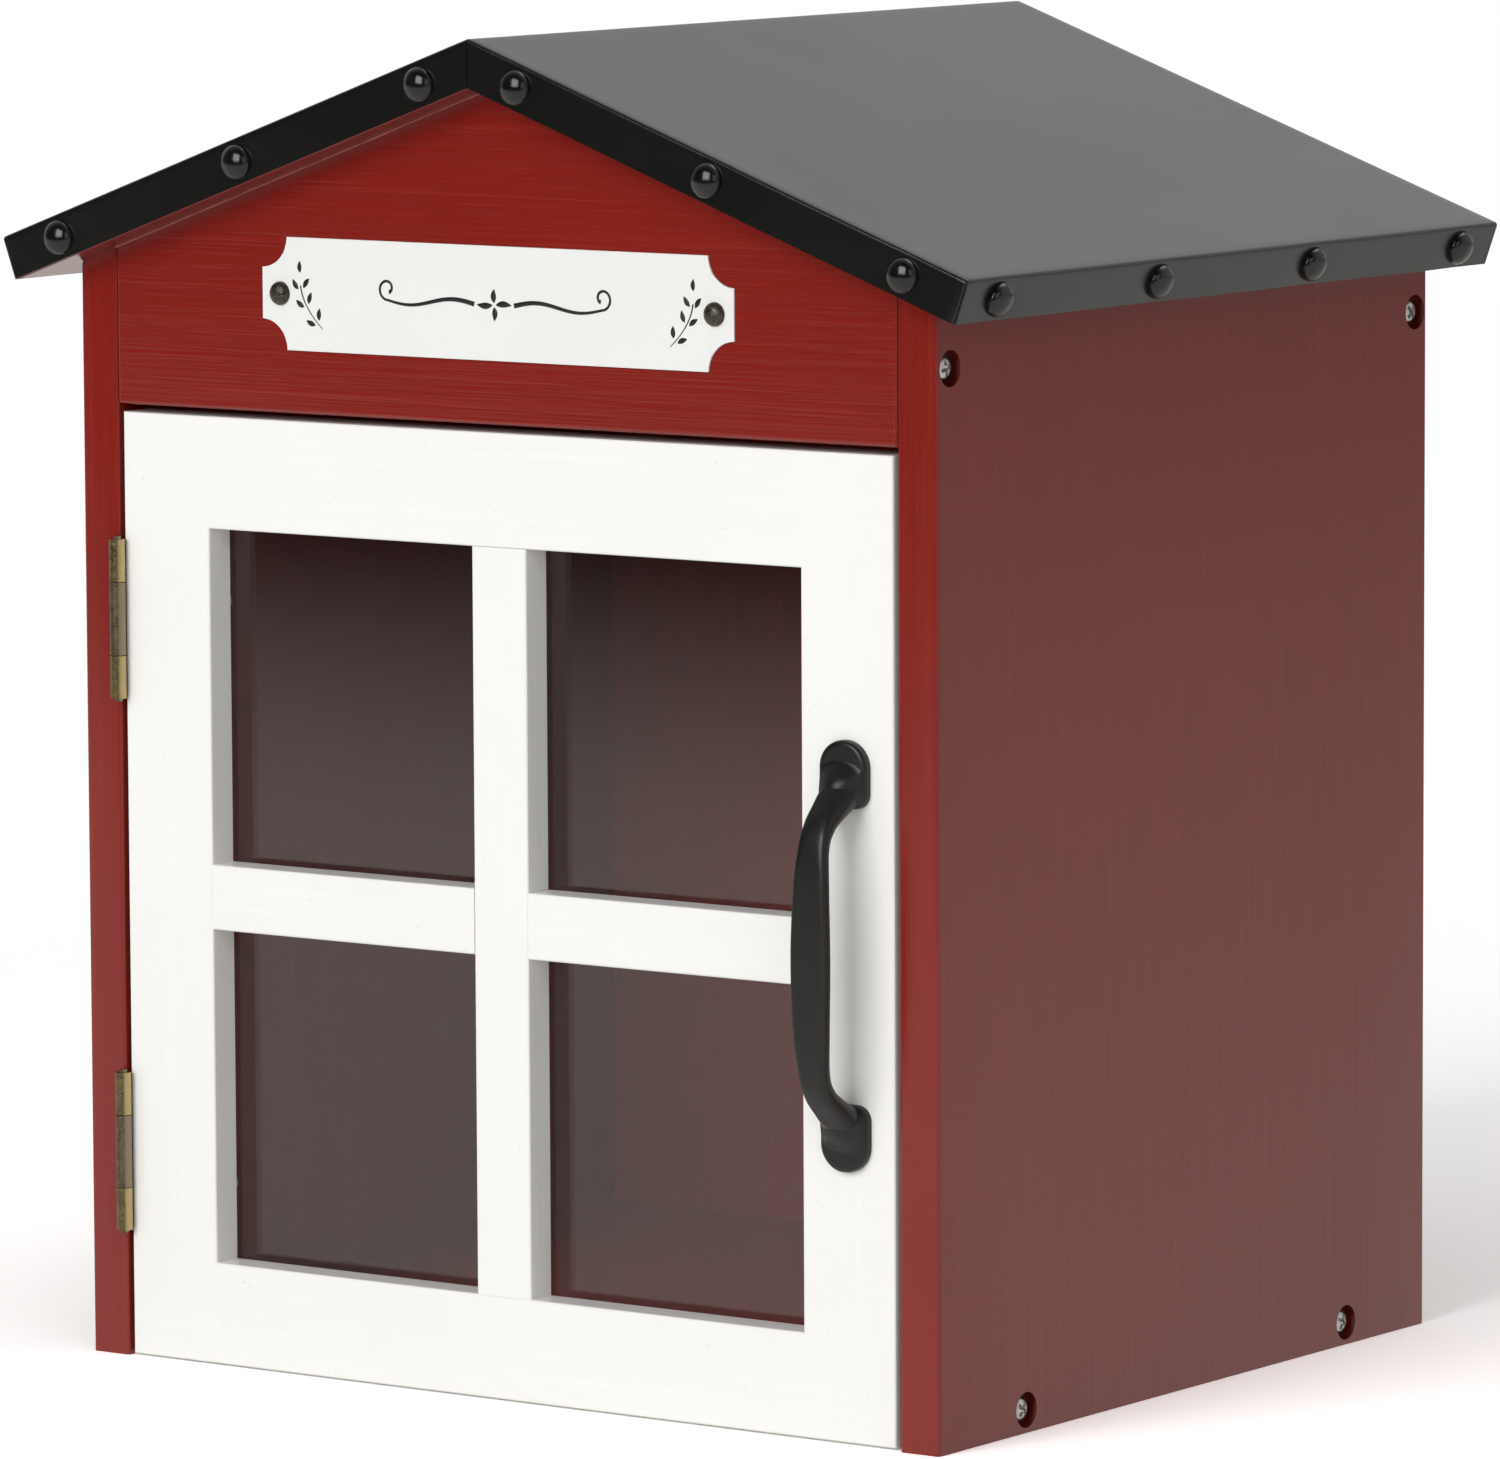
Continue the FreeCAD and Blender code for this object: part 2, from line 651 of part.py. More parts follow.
def roof_sheet():
    """One sheet folded at the ridge, with a flange down each of its edges.

    A solid with rounded folds is hollowed from below by a smaller one, which leaves the metal.
    The flanges are slit at the ridge and at the corners, where the sheet was cut to be folded.
    """
    body = new_body("roof_sheet_outside")
    sheet_solid(body, "0")
    seam_top = "(fold_radius + sheet_thickness)"
    end = f"({EAVE} - sheet_thickness)"
    for name, y in (("front", ROOF_FRONT), ("rear", f"({ROOF_BACK} - 2 * sheet_thickness)")):
        ridge = new_sketch(body, f"{name}_ridge_seam", "XZ_Plane", f"-{y}")
        rectangle(ridge, "-seam_width / 2", "ridge_height - fascia_depth * 1.5",
                  "seam_width / 2", f"ridge_height - {seam_top} / cos({SLOPE})")
        pocket(body, ridge, "2 * sheet_thickness")
        for side, tag in SIDES:
            spots = [on_slope(end, seam_top), on_slope(end, "fascia_depth + 1"),
                     on_slope(f"{end} - seam_width", "fascia_depth + 1"),
                     on_slope(f"{end} - seam_width", seam_top)]
            corner = new_sketch(body, f"{name}_{tag}_seam", "XZ_Plane", f"-{y}")
            polygon(corner, [(f"{side} * {x}", z) for x, z in spots])
            pocket(body, corner, "2 * sheet_thickness")
    ends = new_sketch(body, "sheet_end_nails", "XZ_Plane", f"-{ROOF_FRONT}")
    for side, tag in SIDES:
        for run in SLOPE_NAIL_RUNS:
            x, z = on_slope(run, "nail_line")
            ring(ends, f"{side} * {x}", z, NAIL_PILOT)
    pocket(body, ends, symmetric=True)
    for side, tag in SIDES:
        for i, y in enumerate(EAVE_NAIL_Y):
            x, z = on_slope(EAVE, "nail_line")
            hole = new_sketch(body, f"sheet_{tag}_nail_{i}", "XY_Plane",
                              spot=(f"{side} * {x}", y, z), axis=(0, 1, 0),
                              angle=f"{side} * (90 + roof_slope)")
            ring(hole, "0", "0", NAIL_PILOT)
            pocket(body, hole, "2 * sheet_thickness")
    hollow = new_body("roof_sheet_hollow")
    sheet_solid(hollow, "sheet_thickness")
    folded = doc.addObject("Part::Cut", "roof_sheet")
    folded.Label = "roof_sheet"
    folded.Base = body
    folded.Tool = hollow
    parts.append(folded)


# Sign

def sign_plate():
    """A plain plate with a quarter circle taken out of each corner."""
    body = new_body("sign_plate")
    outline = new_sketch(body, "sign_plate_outline", "XZ_Plane", f"-{FRONT}")
    left, right = "(-sign_width / 2)", "(sign_width / 2)"
    low, high = f"({SIGN_Z} - sign_height / 2)", f"({SIGN_Z} + sign_height / 2)"
    rectangle(outline, left, low, right, high)
    pad(body, outline, "sign_thickness")
    notches = new_sketch(body, "sign_plate_notches", "XZ_Plane", f"-{FRONT}")
    for x in (left, right):
        for z in (low, high):
            circle(notches, x, z, "2 * sign_notch")
    pocket(body, notches, symmetric=True)
    holes = new_sketch(body, "sign_plate_holes", "XZ_Plane", f"-{FRONT}")
    for sign in ("-", ""):
        ring(holes, f"{sign}{SIGN_NAIL_X}", SIGN_Z, "(sign_nail_shank + 2 * screw_play)")
    pocket(body, holes, symmetric=True)
    parts.append(body)


# Door

def frame_member(label, corners, inner_edge, along):
    """A stile or rail: a board with mitred ends, a glass rebate and rounded front edges."""
    body = new_body(label)
    outline = new_sketch(body, label + "_outline", "XZ_Plane", f"-{FRONT}")
    polygon(outline, corners)
    pad(body, outline, "door_thickness", backwards=True)
    face = number(FRONT)
    round_edges(body, "door_arris",
                lambda edge: runs_along(edge, along) and near(middle(edge).y, face))
    rebate = new_sketch(body, label + "_rebate", "XZ_Plane", f"-{DOOR_BACK}")
    rectangle(rebate, f"{GLASS_LEFT} - rebate_width", f"{GLASS_BOTTOM} - rebate_width",
              f"{GLASS_RIGHT} + rebate_width", f"{GLASS_TOP} + rebate_width")
    pocket(body, rebate, "rebate_depth", backwards=True)
    mortise = new_sketch(body, label + "_mortise", "XZ_Plane",
                         f"-{FRONT} - {TENON_FRONT} + joint_play")
    inset = "(tenon_length + joint_play)"
    half = "(muntin_width / 2 - door_arris + joint_play)"
    if along is Z_AXIS:
        rectangle(mortise, f"{inner_edge} - {inset}", f"{GLASS_Z} - {half}",
                  f"{inner_edge} + {inset}", f"{GLASS_Z} + {half}")
    else:
        rectangle(mortise, f"{GLASS_X} - {half}", f"{inner_edge} - {inset}",
                  f"{GLASS_X} + {half}", f"{inner_edge} + {inset}")
    pocket(body, mortise, "tenon_thickness + 2 * joint_play")
    seats = new_sketch(body, label + "_pane_pilots", "XZ_Plane", f"-{REBATE_FLOOR}")
    for x, z in pane_screw_spots(label):
        ring(seats, x, z, "(pane_screw_shank + 2 * screw_play)")
    pocket(body, seats, "pane_screw_length - pane_thickness + 0.5", backwards=True)
    parts.append(body)
    return body


def pane_screw_spots(label):
    """Where a frame member's two pane screws go, in the middle of its rebate."""
    low, high = f"({GLASS_BOTTOM} + pane_screw_inset)", f"({GLASS_TOP} - pane_screw_inset)"
    left, right = f"({GLASS_LEFT} + pane_screw_inset)", f"({GLASS_RIGHT} - pane_screw_inset)"
    half = "rebate_width / 2"
    return {
        "door_stile_left": [(f"{GLASS_LEFT} - {half}", z) for z in (low, high)],
        "door_stile_right": [(f"{GLASS_RIGHT} + {half}", z) for z in (low, high)],
        "door_rail_bottom": [(x, f"{GLASS_BOTTOM} - {half}") for x in (left, right)],
        "door_rail_top": [(x, f"{GLASS_TOP} + {half}") for x in (left, right)],
    }[label]


def door_frame():
    """The four mitred members; the left stile takes the hinges, the right the handle."""
    outer = {"l": DOOR_LEFT, "r": DOOR_RIGHT, "b": DOOR_BOTTOM, "t": DOOR_TOP}
    inner = {"l": GLASS_LEFT, "r": GLASS_RIGHT, "b": GLASS_BOTTOM, "t": GLASS_TOP}

    def corner(edges, which):
        return edges[which[0]], edges[which[1]]

    def mitred(a, b):
        return [corner(outer, a), corner(inner, a), corner(inner, b), corner(outer, b)]

    left = frame_member("door_stile_left", mitred("lb", "lt"), GLASS_LEFT, Z_AXIS)
    right = frame_member("door_stile_right", mitred("rb", "rt"), GLASS_RIGHT, Z_AXIS)
    frame_member("door_rail_bottom", mitred("lb", "rb"), GLASS_BOTTOM, X_AXIS)
    frame_member("door_rail_top", mitred("lt", "rt"), GLASS_TOP, X_AXIS)

    pilots = new_sketch(left, "door_stile_left_hinge_pilots", "YZ_Plane", DOOR_LEFT)
    for hinge_z in HINGE_Z.values():
        for z in LEAF_SCREW_Z:
            ring(pilots, f"{HINGE_Y} + {LEAF_SCREW_Y}", f"{hinge_z} + {z}", SMALL_PILOT)
    pocket(left, pilots, "hinge_screw_length", backwards=True)

    holes = new_sketch(right, "door_stile_right_handle_holes", "XZ_Plane", f"-{FRONT}")
    for sign in ("-", "+"):
        ring(holes, STILE_X, f"{GLASS_Z} {sign} {ROOT_HEIGHT}",
             "(handle_screw_shank + 4 * screw_play)")
    pocket(right, holes)
    strike = new_sketch(right, "door_stile_right_strike_pilots", "XZ_Plane", f"-{DOOR_BACK}")
    for sign in ("-", "+"):
        ring(strike, CATCH_X, f"{CATCH_Z} {sign} {STRIKE_SCREW_Z}", SMALL_PILOT)
    pocket(right, strike, "hinge_screw_length", backwards=True)


def muntin(label, upright):
    """A glazing bar with a stub tenon at each end and half its thickness cut away midway."""
    body = new_body(label)
    depth = f"({REBATE_FLOOR} - {FRONT})"
    bar = new_sketch(body, label + "_bar", "XZ_Plane", f"-{FRONT}")
    tenon = new_sketch(body, label + "_tenons", "XZ_Plane", f"-{FRONT} - {TENON_FRONT}")
    lap = new_sketch(body, label + "_lap", "XZ_Plane",
                     f"-{REBATE_FLOOR}" if upright else f"-{FRONT}")
    half, lap_half = "(muntin_width / 2)", "(muntin_width / 2 + joint_play)"
    tongue = f"({half} - door_arris)"
    if upright:
        rectangle(bar, f"{GLASS_X} - {half}", GLASS_BOTTOM, f"{GLASS_X} + {half}", GLASS_TOP)
        rectangle(tenon, f"{GLASS_X} - {tongue}", f"{GLASS_BOTTOM} - tenon_length",
                  f"{GLASS_X} + {tongue}", f"{GLASS_TOP} + tenon_length")
        rectangle(lap, f"{GLASS_X} - muntin_width", f"{GLASS_Z} - {lap_half}",
                  f"{GLASS_X} + muntin_width", f"{GLASS_Z} + {lap_half}")
    else:
        rectangle(bar, GLASS_LEFT, f"{GLASS_Z} - {half}", GLASS_RIGHT, f"{GLASS_Z} + {half}")
        rectangle(tenon, f"{GLASS_LEFT} - tenon_length", f"{GLASS_Z} - {tongue}",
                  f"{GLASS_RIGHT} + tenon_length", f"{GLASS_Z} + {tongue}")
        rectangle(lap, f"{GLASS_X} - {lap_half}", f"{GLASS_Z} - muntin_width",
                  f"{GLASS_X} + {lap_half}", f"{GLASS_Z} + muntin_width")
    pad(body, bar, depth, backwards=True)
    along, face = (Z_AXIS if upright else X_AXIS), number(FRONT)
    round_edges(body, "door_arris",
                lambda edge: runs_along(edge, along) and near(middle(edge).y, face))
    pad(body, tenon, "tenon_thickness", backwards=True)
    pocket(body, lap, f"{depth} / 2", backwards=upright)
    parts.append(body)


def window_pane():
    """One clear sheet behind the whole frame, drilled for its screws."""
    body = new_body("window_pane")
    outline = new_sketch(body, "window_pane_outline", "XZ_Plane", f"-{REBATE_FLOOR}")
    lap = "(rebate_width - pane_play)"
    rectangle(outline, f"{GLASS_LEFT} - {lap}", f"{GLASS_BOTTOM} - {lap}",
              f"{GLASS_RIGHT} + {lap}", f"{GLASS_TOP} + {lap}")
    pad(body, outline, "pane_thickness", backwards=True)
    holes = new_sketch(body, "window_pane_holes", "XZ_Plane", f"-{REBATE_FLOOR}")
    for label in FRAME_MEMBERS:
        for x, z in pane_screw_spots(label):
            ring(holes, x, z, "(pane_screw_shank + 4 * screw_play)")
    pocket(body, holes)
    parts.append(body)


# Hinges, drawn round a pin that stands at the origin, with the leaves reaching back along +Y.

def hinge_leaf(label, hinge_z, side):
    """A leaf with its share of the knuckle: the two ends on the cabinet, the middle on the door."""
    body = new_body(label)
    near_face = f"({side} * leaf_play / 2)"
    far_face = f"({side} * (leaf_play / 2 + leaf_thickness))"
    plate = new_sketch(body, label + "_plate", "XY_Plane")
    rectangle(plate, near_face, "0", far_face, "leaf_reach")
    pad(body, plate, "hinge_length", symmetric=True)
    reach = number("leaf_reach")
    round_edges(body, "leaf_corner", lambda edge: runs_along(edge, X_AXIS)
                and near(middle(edge).y, reach))
    barrel = new_sketch(body, label + "_barrel", "XY_Plane")
    ring(barrel, "0", "0", "knuckle_diameter", 24)
    pad(body, barrel, "hinge_length", symmetric=True)
    clear = "(knuckle_diameter / 2 + 2 * knuckle_gap)"
    half = f"(middle_knuckle / 2 {'+' if side < 0 else '-'} knuckle_gap / 2)"
    notch = new_sketch(body, label + "_notch", "YZ_Plane")
    if side < 0:
        rectangle(notch, f"-{clear}", f"-{half}", clear, half)
    else:
        rectangle(notch, f"-{clear}", half, clear, "hinge_length")
        rectangle(notch, f"-{clear}", "-hinge_length", clear, f"-{half}")
    pocket(body, notch, "2 * knuckle_diameter", symmetric=True)
    bore = new_sketch(body, label + "_bore", "XY_Plane")
    circle(bore, "0", "0", "hinge_pin_diameter + 2 * hinge_pin_play")
    pocket(body, bore, "2 * hinge_length", symmetric=True)
    screws = new_sketch(body, label + "_screws", "YZ_Plane", near_face)
    for z in LEAF_SCREW_Z:
        ring(screws, LEAF_SCREW_Y, z, SMALL_PILOT)
    pocket(body, screws, symmetric=True)
    round_edges(body, HINGE_SINK, hole_edges(SMALL_PILOT, "x", number(near_face)), "Chamfer")
    place(body, HINGE_X, HINGE_Y, hinge_z)
    parts.append(body)


def hinge_pin(label, hinge_z):
    """A pin whose ends stand a little out of the knuckle."""
    body = new_body(label)
    outline = new_sketch(body, label + "_outline", "XY_Plane")
    circle(outline, "0", "0", "hinge_pin_diameter")
    pad(body, outline, "hinge_length + 2 * hinge_pin_proud", symmetric=True)
    place(body, HINGE_X, HINGE_Y, hinge_z)
    parts.append(body)


# Handle, drawn round its own middle on the door's face, with the grip standing out along -Y.

def grip_section(body, name, y, z, tilt, width, thickness, front_cut, back_cut):
    """A rectangle with its corners cut, across the handle's arch at one place and square to it."""
    section = new_sketch(body, name, "XY_Plane", spot=("0", y, z), axis=(1, 0, 0), angle=tilt)
    x, y = f"({width}) / 2", f"({thickness}) / 2"
    quarters = [("", "", back_cut), ("-", "", back_cut), ("-", "-", front_cut), ("", "-", front_cut)]
    corners = []
    for i, (sx, sy, cut) in enumerate(quarters):
        ends = [(f"{sx}({x})", f"{sy}({y} - {cut})"), (f"{sx}({x} - {cut})", f"{sy}({y})")]
        corners += ends if i % 2 == 0 else ends[::-1]
    polygon(section, corners)
    section.Visibility = False
    return section


def handle():
    """A cast arch pull: an oval pad at each end and a grip that swells towards its middle."""
    body = new_body("handle")
    arch = "(handle_projection - grip_thickness / 2)"
    # Where each section of the half arch stands: its y and z, its tilt in degrees, its width and
    # thickness, and how much its front and its back corners are cut.
    front, back = "grip_thickness * 0.16", "grip_thickness * 0.34"
    stations = [
        (f"-{arch}", "0", "0", "grip_width", "grip_thickness", front, back),
        (f"-{arch} + 0.3", f"{ROOT_HEIGHT} * 0.36", "2.5", "grip_width * 0.95",
         "grip_thickness", front, back),
        (f"-{arch} + 1.5", f"{ROOT_HEIGHT} * 0.66", "7", "grip_width * 0.79",
         "grip_thickness * 1.08", "grip_thickness * 0.22", "grip_thickness * 0.36"),
        (f"-{arch} + 4.3", f"{ROOT_HEIGHT} * 0.85", "32", "neck_width",
         "neck_thickness * 0.95", "neck_thickness * 0.28", "neck_thickness * 0.3"),
        (f"-{arch} * 0.56", f"{ROOT_HEIGHT} * 0.965", "66", "neck_width",
         "neck_thickness * 1.15", "neck_thickness * 0.34", "neck_thickness * 0.34"),
        (f"-{arch} * 0.3", f"{ROOT_HEIGHT}", "86", "root_width * 0.88",
         "root_width * 0.82", "root_width * 0.25", "root_width * 0.25"),
        ("-pad_thickness * 0.6", ROOT_HEIGHT, "90", "root_width", "root_width",
         "root_width * 0.293", "root_width * 0.293"),
    ]
    sections = []
    for i, (y, z, tilt, *sizes) in enumerate(stations):
        sections.append(grip_section(body, f"grip_upper_{i}", y, z, f"-({tilt})", *sizes))
    for i, (y, z, tilt, *sizes) in enumerate(stations[1:], 1):
        sections.insert(0, grip_section(body, f"grip_lower_{i}", y, f"-({z})", tilt, *sizes))
    loft = body.newObject("PartDesign::AdditiveLoft", "handle_grip")
    loft.Profile = sections[0]
    loft.Sections = sections[1:]
    loft.Ruled = True
    doc.recompute()
    for name, sign in (("upper", ""), ("lower", "-")):
        outline = new_sketch(body, f"handle_{name}_pad_outline", "XZ_Plane")
        far = f"({sign}1 * handle_length / 2)"
        close = f"({sign}1 * (handle_length / 2 - pad_length))"
        rectangle(outline, "-pad_width / 2", close, "pad_width / 2", far)
        pad(body, outline, "pad_thickness")
        ends = number("handle_length") / 2
        lift = number("pad_length")
        side = -1 if sign else 1
        thick = number("pad_thickness")

        def upright_at(height):
            return lambda edge: (runs_along(edge, Y_AXIS) and near(edge.Length, thick)
                                 and near(middle(edge).z, side * height))

        round_edges(body, "pad_width / 2 * 0.98", upright_at(ends))
        round_edges(body, "pad_corner", upright_at(ends - lift))
    face = -number("pad_thickness")
    root_reach = number("root_width") / 2 + 0.1
    root = number(ROOT_HEIGHT)

    def on_rim(edge):
        spot = middle(edge)
        flat = all(near(vertex.Y, face) for vertex in edge.Vertexes) and near(spot.y, face)
        return flat and max(abs(spot.x), abs(abs(spot.z) - root)) > root_reach

    round_edges(body, "pad_rim", on_rim, "Chamfer")
    bores = new_sketch(body, "handle_bores", "XZ_Plane")
    for sign in ("-", ""):
        ring(bores, "0", f"{sign}{ROOT_HEIGHT}", "(handle_screw_shank + 2 * screw_play)")
    pocket(body, bores, "handle_screw_depth + 0.6", backwards=True)
    place(body, STILE_X, FRONT, GLASS_Z)
    parts.append(body)


# Magnet catch on the right side board, and its strike on the back of the door

def block(label, length, width):
    """A plain box as high as the catch's slot."""
    made = doc.addObject("Part::Box", label)
    made.Label = label
    for side, text in (("Length", length), ("Width", width), ("Height", POLE_HEIGHT)):
        made.setExpression(side, bound(text))
    return made


def catch():
    """A moulded housing with an ear at each end, two pole plates and the magnet between them."""
    body = new_body("catch_housing")
    side = new_sketch(body, "catch_housing_side", "YZ_Plane", INNER)
    rear = f"({CATCH_FRONT} + catch_depth)"
    rectangle(side, CATCH_FRONT, f"{CATCH_Z} - catch_body / 2", rear, f"{CATCH_Z} + catch_body / 2")
    pad(body, side, "catch_width", backwards=True)
    edge_x = number(INNER)
    round_edges(body, "catch_corner", lambda edge: not near(middle(edge).x, edge_x)
                and runs_along(edge, Y_AXIS))
    ears = new_sketch(body, "catch_housing_ears", "YZ_Plane", INNER)
    rectangle(ears, f"{rear} - catch_depth * 0.66", f"{CATCH_Z} - catch_length / 2",
              rear, f"{CATCH_Z} + catch_length / 2")
    pad(body, ears, "catch_ear", backwards=True)
    slot = new_sketch(body, "catch_housing_slot", "XZ_Plane", f"-{CATCH_FRONT}")
    rectangle(slot, f"{CATCH_X} - {POLE_HALF} - joint_play", f"{POLE_BOTTOM} - joint_play",
              f"{CATCH_X} + {POLE_HALF} + joint_play", f"{POLE_BOTTOM} + {POLE_HEIGHT} + joint_play")
    pocket(body, slot, "catch_depth - catch_floor")
    screws = new_sketch(body, "catch_housing_screws", "YZ_Plane", f"{INNER} - catch_ear")
    for way in ("-", "+"):
        ring(screws, CATCH_SCREW_Y, f"{CATCH_Z} {way} {CATCH_SCREW_Z}",
             "(hinge_screw_shank + 4 * screw_play)")
    pocket(body, screws, "2 * catch_ear", backwards=True)
    parts.append(body)

    poles = []
    for i, x in enumerate(("-" + POLE_HALF, POLE_HALF + " - pole_thickness")):
        pole = block(f"catch_pole_{i}", "pole_thickness", "catch_depth - catch_floor + pole_proud")
        place(pole, f"{CATCH_X} + {x}", f"{CATCH_FRONT} - pole_proud", POLE_BOTTOM)
        poles.append(pole)
    pair = doc.addObject("Part::Compound", "catch_poles")
    pair.Label = "catch_poles"
    pair.Links = poles
    magnet = block("catch_magnet", f"2 * ({POLE_HALF} - pole_thickness)", "catch_depth - catch_floor")
    place(magnet, f"{CATCH_X} - {POLE_HALF} + pole_thickness", CATCH_FRONT, POLE_BOTTOM)
    parts.extend((pair, magnet))

    strike = new_body("catch_strike")
    plate = new_sketch(strike, "catch_strike_outline", "XZ_Plane", f"-{DOOR_BACK}")
    half_w, half_h = "strike_width / 2", "strike_length / 2"
    rectangle(plate, f"{CATCH_X} - {half_w}", f"{CATCH_Z} - {half_h}",
              f"{CATCH_X} + {half_w}", f"{CATCH_Z} + {half_h}")
    pad(strike, plate, "strike_thickness", backwards=True)
    round_edges(strike, "strike_corner", lambda edge: runs_along(edge, Y_AXIS))
    holes = new_sketch(strike, "catch_strike_holes", "XZ_Plane", f"-{DOOR_BACK} - strike_thickness")
    for sign in ("-", "+"):
        ring(holes, CATCH_X, f"{CATCH_Z} {sign} {STRIKE_SCREW_Z}", SMALL_PILOT)
    pocket(strike, holes, symmetric=True)
    back_face = number(f"{DOOR_BACK} + strike_thickness")
    round_edges(strike, HINGE_SINK, hole_edges(SMALL_PILOT, "y", back_face), "Chamfer")
    parts.append(strike)


# Every fastener

def fasteners():
    """Each kind of fastener once, and its copies wherever it is used."""
    wood_screw = pan_screw("wood_screw", "wood_screw_head", "wood_screw_rise",
                           "wood_screw_shank", "wood_screw_length")
    roof_screw = flat_screw("roof_screw", "roof_screw_head", "wood_screw_shank",
                            "wood_screw_length")
    hinge_screw = flat_screw("hinge_screw", "hinge_screw_head", "hinge_screw_shank",
                             "hinge_screw_length")
    pane_screw = pan_screw("pane_screw", "pane_screw_head", "pane_screw_rise",
                           "pane_screw_shank", "pane_screw_length")
    handle_screw = pan_screw("handle_screw", "handle_screw_head", "handle_screw_rise",
                             "handle_screw_shank", "door_thickness + handle_screw_depth")
    catch_screw = pan_screw("catch_screw", "hinge_screw_head", "hinge_screw_head * 0.36",
                            "hinge_screw_shank", "hinge_screw_length")
    roof_nail = dome_nail("roof_nail", "nail_head", "nail_dome", "nail_shank", "nail_length")
    sign_nail = dome_nail("sign_nail", "sign_nail_head", "sign_nail_dome", "sign_nail_shank",
                          "sign_nail_length")

    seat = "counterbore_depth"
    parts.append(copies("side_screws_right", wood_screw,
                        [(f"{HALF} - {seat}", y, z, *FACING_RIGHT) for y, z in SIDE_SCREWS]))
    parts.append(copies("side_screws_left", wood_screw,
                        [(f"{seat} - {HALF}", y, z, *FACING_LEFT) for y, z in SIDE_SCREWS]))
    parts.append(copies("back_screws", wood_screw,
                        [(x, f"{BACK} - {seat}", "board_thickness / 2", *FACING_BACK)
                         for x in BACK_SCREW_X]))

    spots = []
    for side in (1, -1):
        for run in ROOF_SCREW_RUNS:
            x, z = on_slope(run, BOARD_TOP)
            spots += [(f"{side} * {x}", y, z, (0, 1, 0), f"{side} * roof_slope")
                      for y in ROOF_SCREW_Y]
    parts.append(copies("roof_board_screws", roof_screw, spots))

    for name, y, facing in (("front", ROOF_FRONT, FACING_FRONT), ("back", ROOF_BACK, FACING_BACK)):
        spots = []
        for side in (1, -1):
            for run in SLOPE_NAIL_RUNS:
                x, z = on_slope(run, "nail_line")
                spots.append((f"{side} * {x}", y, z, *facing))
        parts.append(copies(f"roof_nails_{name}", roof_nail, spots))
    for name, side in (("right", 1), ("left", -1)):
        x, z = on_slope(EAVE, "nail_line")
        spots = [(f"{side} * {x}", y, z, (0, 1, 0), f"{side} * (90 + roof_slope)")
                 for y in EAVE_NAIL_Y]
        parts.append(copies(f"roof_nails_{name}", roof_nail, spots))

    parts.append(copies("sign_nails", sign_nail,
                        [(f"{sign}{SIGN_NAIL_X}", f"{FRONT} - sign_thickness", SIGN_Z, *FACING_FRONT)
                         for sign in ("-", "")]))

    leaf_y = f"{HINGE_Y} + {LEAF_SCREW_Y}"
    for name, sign, facing in (("hinge_frame_screws", "-", FACING_RIGHT),
                               ("hinge_door_screws", "+", FACING_LEFT)):
        spots = [(f"{HINGE_X} {sign} leaf_play / 2", leaf_y, f"{hinge_z} + {z}", *facing)
                 for hinge_z in HINGE_Z.values() for z in LEAF_SCREW_Z]
        parts.append(copies(name, hinge_screw, spots))

    spots = [spot for label in FRAME_MEMBERS for spot in pane_screw_spots(label)]
    parts.append(copies("pane_screws", pane_screw,
                        [(x, f"{REBATE_FLOOR} + pane_thickness", z, *FACING_BACK) for x, z in spots]))
    parts.append(copies("handle_screws", handle_screw,
                        [(STILE_X, DOOR_BACK, f"{GLASS_Z} {sign} {ROOT_HEIGHT}", *FACING_BACK)
                         for sign in ("-", "+")]))
    parts.append(copies("catch_screws", catch_screw,
                        [(f"{INNER} - catch_ear", CATCH_SCREW_Y, f"{CATCH_Z} {sign} {CATCH_SCREW_Z}",
                          *FACING_LEFT) for sign in ("-", "+")]))
    parts.append(copies("strike_screws", hinge_screw,
                        [(CATCH_X, f"{DOOR_BACK} + strike_thickness",
                          f"{CATCH_Z} {sign} {STRIKE_SCREW_Z}", *FACING_BACK)
                         for sign in ("-", "+")]))


side_panel("side_panel_left", -1)
side_panel("side_panel_right", 1)
gable_front()
back_panel()
bottom_panel()
roof_board("roof_board_left", -1)
roof_board("roof_board_right", 1)
roof_sheet()
sign_plate()
door_frame()
muntin("muntin_upright", True)
muntin("muntin_cross", False)
window_pane()
for name, hinge_z in HINGE_Z.items():
    hinge_leaf(f"hinge_{name}_frame_leaf", hinge_z, -1)
    hinge_leaf(f"hinge_{name}_door_leaf", hinge_z, 1)
    hinge_pin(f"hinge_{name}_pin", hinge_z)
handle()
catch()
fasteners()
doc.recompute()

for item in doc.Objects:
    if "Invalid" in item.State or "Error" in item.State:
        raise RuntimeError(f"{item.Label} failed: {item.State}")
for part in parts:
    if part.Shape.isNull() or not part.Shape.isValid():
        raise RuntimeError(f"{part.Label} has no valid shape")

os.makedirs("parts", exist_ok=True)
for part in parts:
    part.Shape.exportStep(f"parts/{part.Label}.step")
    box = part.Shape.BoundBox
    print(f"{part.Label}: {len(part.Shape.Solids)} solids, "
          f"{box.XLength:.1f} x {box.YLength:.1f} x {box.ZLength:.1f}")
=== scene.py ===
"""The looks of a street book exchange box, laid over its CAD frame.

A painted pine cabinet stands under a folded black roof sheet with domed nails. Its white door has
four lights, two butt hinges and a cast pull. Shapes are worked out in millimetres and written in
metres. +X is the right-hand side, +Y the back, +Z up.
"""
import math

